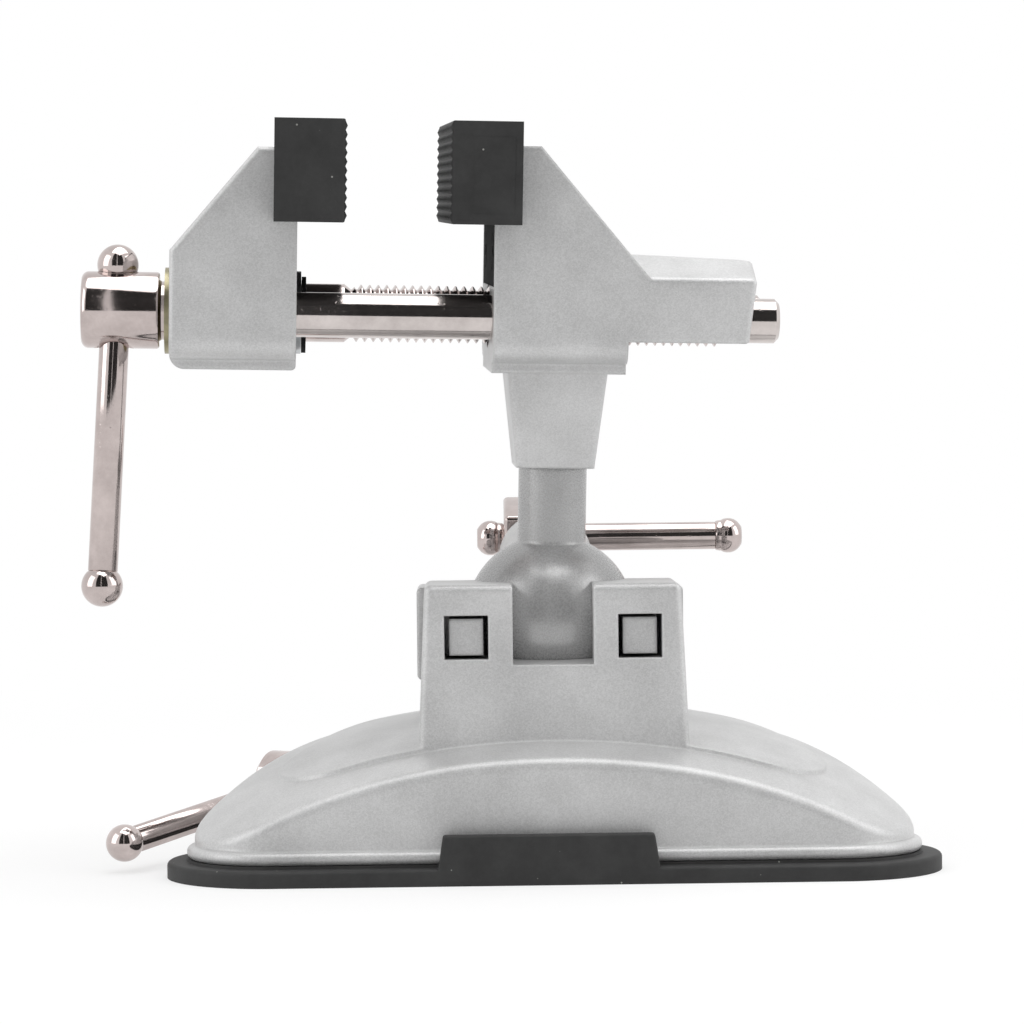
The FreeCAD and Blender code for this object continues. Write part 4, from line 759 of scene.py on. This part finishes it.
class VISE_OT_clamp_screw(ViseOperator, bpy.types.Operator):
    """Model the ball clamp's screw, with its thread and drilled head"""

    bl_idname = "vise.clamp_screw"
    bl_label = "Clamp screw"

    def build(self, sizes, finish):
        pitch = sizes.clamp_pitch / MM
        screw = thread("clamp_screw_steel", 22, 38.6, 5, pitch, pitch * sizes.thread_depth, 48)
        shank = turned("clamp_screw_shank", [
            (38.0, 4.2), (38.8, 4.25), (39.4, 4.9), (42, 4.9),
        ], sides=sizes.turning_steps)
        head = block("clamp_screw_head", (-8.8, -7.3, 40.5), (8.8, 7.3, 54.1), round_by=1.0, steps=4)
        for other in (shank, head):
            apply(screw, "BOOLEAN", object=other, operation="UNION", solver="EXACT")
            bpy.data.objects.remove(other)
        across = shift(z=CLAMP_BAR_AT) @ LYING
        hole = turned("bar_hole", [(-10, BAR_HOLE_RADIUS), (10, BAR_HOLE_RADIUS)], across, 48)
        cut(screw, hole)
        stand(screw, CLAMP)
        close_up(screw)
        smooth(screw, 32)
        finish_piece(screw, "clamp_spindle", ["clamp_screw"], finish["nickel_steel"])


class VISE_OT_tee_bars(ViseOperator, bpy.types.Operator):
    """Model the three T-bars with their ball ends and barrel caps"""

    bl_idname = "vise.tee_bars"
    bl_label = "T-bars"

    def build(self, sizes, finish):
        nickel = finish["nickel_steel"]
        steps = sizes.turning_steps
        for node, place, radius, ball, long_end, short_end, body in (
            ("jaw_bar", JAW_BAR, 3.0, 4.2, 56.2, 9.2, "jaw_handle"),
            ("suction_bar", LEVER @ shift(x=62.8), 2.75, 3.8, 66.0, 8.8, "suction_lever_bar"),
        ):
            face = math.sqrt(ball ** 2 - radius ** 2)
            lean = math.degrees(math.asin(radius / ball))
            spigot = radius * 0.6
            bar = turned(node + "_steel", [
                (-long_end, spigot), (-long_end + face, spigot), (-long_end + face, radius - 0.12),
                (-long_end + face + 0.15, radius), (short_end - face - 0.35, radius),
                *arc((short_end, 0), ball, 180 - lean, 1.5, 28),
            ], place, steps)
            smooth(bar, 40)
            finish_piece(bar, body, [node], nickel)
            knob = turned(node + "_knob_steel", [
                *arc((-long_end, 0), ball, 178.5, lean + 4, 28),
                (-long_end + face, radius - 0.1), (-long_end + face, spigot + 0.02),
                (-long_end + 0.1, spigot + 0.02), (-long_end + 0.1, 0.3),
            ], place, steps)
            smooth(knob, 40)
            finish_piece(knob, body, [node + "_knob"], nickel)

        place = CLAMP @ shift(z=CLAMP_BAR_AT) @ LYING
        left, right = -8.9, 37.5
        bar = turned("clamp_bar_steel", [
            (-14.6, 1.95), (left, 1.95), (left, 2.85), (left + 0.15, 3.0),
            (right - 0.15, 3.0), (right, 2.85), (right, 1.95), (43.2, 1.95),
        ], place, steps)
        smooth(bar, 40)
        finish_piece(bar, "clamp_handle", ["clamp_bar"], nickel)
        # Each cap: a conical collar on the bar's side, then a barrel whose end is rounded.
        profile = [
            (0.0, 2.02), (0.0, 3.08), (0.2, 3.22), (0.95, 3.36), (1.15, 3.33), (1.35, 3.42), (1.8, 3.66),
            (2.5, 3.79), (3.3, 3.78), (4.1, 3.56), (4.8, 3.12), (5.35, 2.5), (5.7, 2.02),
        ]
        caps = join(
            turned("clamp_bar_caps_steel", profile, place @ shift(z=right), steps),
            turned("left_cap", profile, place @ shift(z=left) @ Matrix.Rotation(math.pi, 4, "X"), steps),
        )
        close_up(caps)
        smooth(caps, 40)
        finish_piece(caps, "clamp_handle", ["clamp_bar_caps"], nickel)


class VISE_OT_jaw_screws(ViseOperator, bpy.types.Operator):
    """Model the countersunk screws that hold the jaw plates"""

    bl_idname = "vise.jaw_screws"
    bl_label = "Jaw plate screws"

    def build(self, sizes, finish):
        for node, face, inward, body in (
            ("fixed_plate_screws", -13.8, 1, "head"), ("moving_plate_screws", -53, -1, "slider"),
        ):
            screws = []
            for side in (-11, 11):
                place = HEAD @ shift(face, side, 75.6) @ Matrix.Rotation(math.radians(90 * inward), 4, "Y")
                screw = turned("countersunk_screw", [
                    (0.0, 0.4), (0.0, 3.3), (0.12, 3.62), (0.4, 3.42), (1.7, 2.0), (8.6, 2.0), (9.0, 1.6),
                ], place, 48)
                socket = turned("hex_socket", [(-1, 1.25), (1.2, 1.25), (1.6, 0.3)], place, 6)
                screws.append(cut(screw, socket))
            pair = join(*screws)
            pair.name = node + "_steel"
            close_up(pair)
            smooth(pair, 30)
            finish_piece(pair, body, [node], finish["black_steel"])


class VISE_OT_fittings(ViseOperator, bpy.types.Operator):
    """Dress the rods, pins, plates, washers and rings, and the lever's shaft"""

    bl_idname = "vise.fittings"
    bl_label = "Rods, plates and rings"

    def build(self, sizes, finish):
        dress(finish["bright_rod"], "front_guide_rod", "rear_guide_rod")
        dress(finish["nickel_steel"], "cam_shaft", "rod_pins")
        dress(
            finish["black_steel"],
            "fixed_jaw_plate", "moving_jaw_plate", "retaining_clip", "cam_clip", "stem_lock_screw",
        )
        dress(finish["yellow_zinc"], "thrust_washer")
        dress(finish["plain_steel"], "inner_washer", "suction_plate", "pull_stud")
        dress(finish["bronze"], "thread_nut")


class VISE_OT_stage(bpy.types.Operator):
    """Set the floor, the backdrop's white, the soft lights and the camera"""

    bl_idname = "vise.stage"
    bl_label = "Studio"
    bl_options = {"REGISTER", "UNDO"}

    def execute(self, context):
        colours = context.scene.vise_colours
        self.lay_floor(colours)
        self.hang_flags()
        self.light_up(context.scene, colours)
        self.set_camera(context.scene)
        context.scene.view_settings.view_transform = "Standard"
        return {"FINISHED"}

    def lay_floor(self, colours):
        clear_selection()
        bpy.ops.mesh.primitive_grid_add(x_subdivisions=4, y_subdivisions=4, size=6, location=(0, 0, 0))
        floor = stand(name_piece("floor"), UPRIGHT)
        material, tree, shader, place = new_finish("Matt white paper", Roughness=0.9)
        shader.inputs["Base Color"].default_value = [*colours.floor, 1]
        bump(tree, shader, noise(tree, place, 2, 3), 0.05, 0.02)
        # Away from the vise the paper runs into the backdrop's white.
        away = add_node(tree, "VectorMath", {0: place}, operation="LENGTH").outputs["Value"]
        share = add_node(tree, "MapRange", {
            "Value": away, "From Min": 0.12, "From Max": 0.5, "To Min": 0.6, "To Max": 1.0,
        }, interpolation_type="SMOOTHSTEP").outputs["Result"]
        share = add_node(tree, "Math", {0: share, 1: seen_rays(tree)}, operation="MULTIPLY").outputs[0]
        white = add_node(tree, "Emission", {"Color": (1, 1, 1, 1), "Strength": 1.0}).outputs[0]
        both = add_node(tree, "MixShader", {0: share, 1: shader.outputs[0], 2: white}).outputs[0]
        tree.links.new(both, tree.nodes["Material Output"].inputs["Surface"])
        floor.data.materials.append(material)

    def hang_flags(self):
        """Two black cards beside the camera, which only the bright metal mirrors."""
        black = new_finish("Black card", Base_Color=(0.012, 0.012, 0.012, 1), Roughness=0.8)[0]
        height = 3.0
        for name, left, right in (("left_flag", -0.75, -0.11), ("right_flag", -0.05, 0.8)):
            clear_selection()
            bpy.ops.mesh.primitive_plane_add(size=1, rotation=(math.radians(90), 0, 0))
            flag = name_piece(name)
            flag.scale = (right - left, height, 1)
            stand(flag, Matrix.Translation(((left + right) / 2, -1.2, height / 2 + 0.02)))
            flag.data.materials.append(black)
            flag.visible_camera = flag.visible_diffuse = False
            flag.visible_transmission = flag.visible_shadow = False

    def light_up(self, scene, colours):
        world = bpy.data.worlds.new("White sweep")
        world.use_nodes = True
        tree = world.node_tree
        strength = add_node(
            tree, "MapRange", {"Value": seen_rays(tree), "To Min": 0.55, "To Max": 1.0},
        ).outputs["Result"]
        tree.nodes["Background"].inputs["Color"].default_value = (1, 1, 1, 1)
        tree.links.new(strength, tree.nodes["Background"].inputs["Strength"])
        scene.world = world
        target = Vector((0, 0, 0.08))
        for name, where, size, power in (
            ("Top softbox", (0.1, -0.06, 1.3), (1.2, 1.0), colours.key_power),
            ("Left softbox", (-1.2, -0.5, 0.6), (0.8, 1.2), colours.side_power),
            ("Right softbox", (1.25, -0.35, 0.7), (0.8, 1.2), colours.side_power),
        ):
            bpy.ops.object.light_add(type="AREA", location=where)
            lamp = bpy.context.active_object
            lamp.name = name
            lamp.data.shape = "RECTANGLE"
            lamp.data.size, lamp.data.size_y = size
            lamp.data.energy = power
            lamp.rotation_euler = (target - Vector(where)).to_track_quat("-Z", "Y").to_euler()

    def set_camera(self, scene):
        bpy.ops.object.camera_add()
        camera = bpy.context.active_object
        camera.data.lens = CAMERA_LENS
        camera.data.sensor_width = 36
        camera.data.clip_start = 0.01
        pan, tilt, roll = (math.radians(angle) for angle in CAMERA_TURN)
        ahead = Vector((math.sin(pan) * math.cos(tilt), math.cos(pan) * math.cos(tilt), math.sin(tilt)))
        right = ahead.cross(Vector((0, 0, 1))).normalized()
        up = right.cross(ahead)
        right, up = right * math.cos(roll) - up * math.sin(roll), up * math.cos(roll) + right * math.sin(roll)
        turn = Matrix((right, up, -ahead)).transposed().to_4x4()
        camera.matrix_world = Matrix.Translation(Vector(CAMERA_EYE) * MM) @ turn
        scene.camera = camera


PIECES = (
    VISE_OT_castings, VISE_OT_suction_cup, VISE_OT_soft_jaws, VISE_OT_lead_screw, VISE_OT_clamp_screw,
    VISE_OT_tee_bars, VISE_OT_jaw_screws, VISE_OT_fittings, VISE_OT_stage,
)


class VISE_PT_sidebar(bpy.types.Panel):
    """The vise's pieces, sizes and colours"""

    bl_label = "Suction base vise"
    bl_space_type = "VIEW_3D"
    bl_region_type = "UI"
    bl_category = "Vise"

    def draw(self, context):
        for piece in PIECES:
            self.layout.operator(piece.bl_idname)
        for group in (context.scene.vise_sizes, context.scene.vise_colours):
            column = self.layout.column(align=True)
            for key in group.__annotations__:
                column.prop(group, key)


CLASSES = (ViseSizes, ViseColours, *PIECES, VISE_PT_sidebar)


def register():
    for item in CLASSES:
        bpy.utils.register_class(item)
    bpy.types.Scene.vise_sizes = PointerProperty(type=ViseSizes)
    bpy.types.Scene.vise_colours = PointerProperty(type=ViseColours)


def unregister():
    del bpy.types.Scene.vise_colours
    del bpy.types.Scene.vise_sizes
    for item in reversed(CLASSES):
        bpy.utils.unregister_class(item)


def main():
    register()
    vise = bpy.ops.vise
    vise.castings()
    vise.suction_cup()
    vise.soft_jaws()
    vise.lead_screw()
    vise.clamp_screw()
    vise.tee_bars()
    vise.jaw_screws()
    vise.fittings()
    vise.stage()


if __name__ == "__main__":
    main()
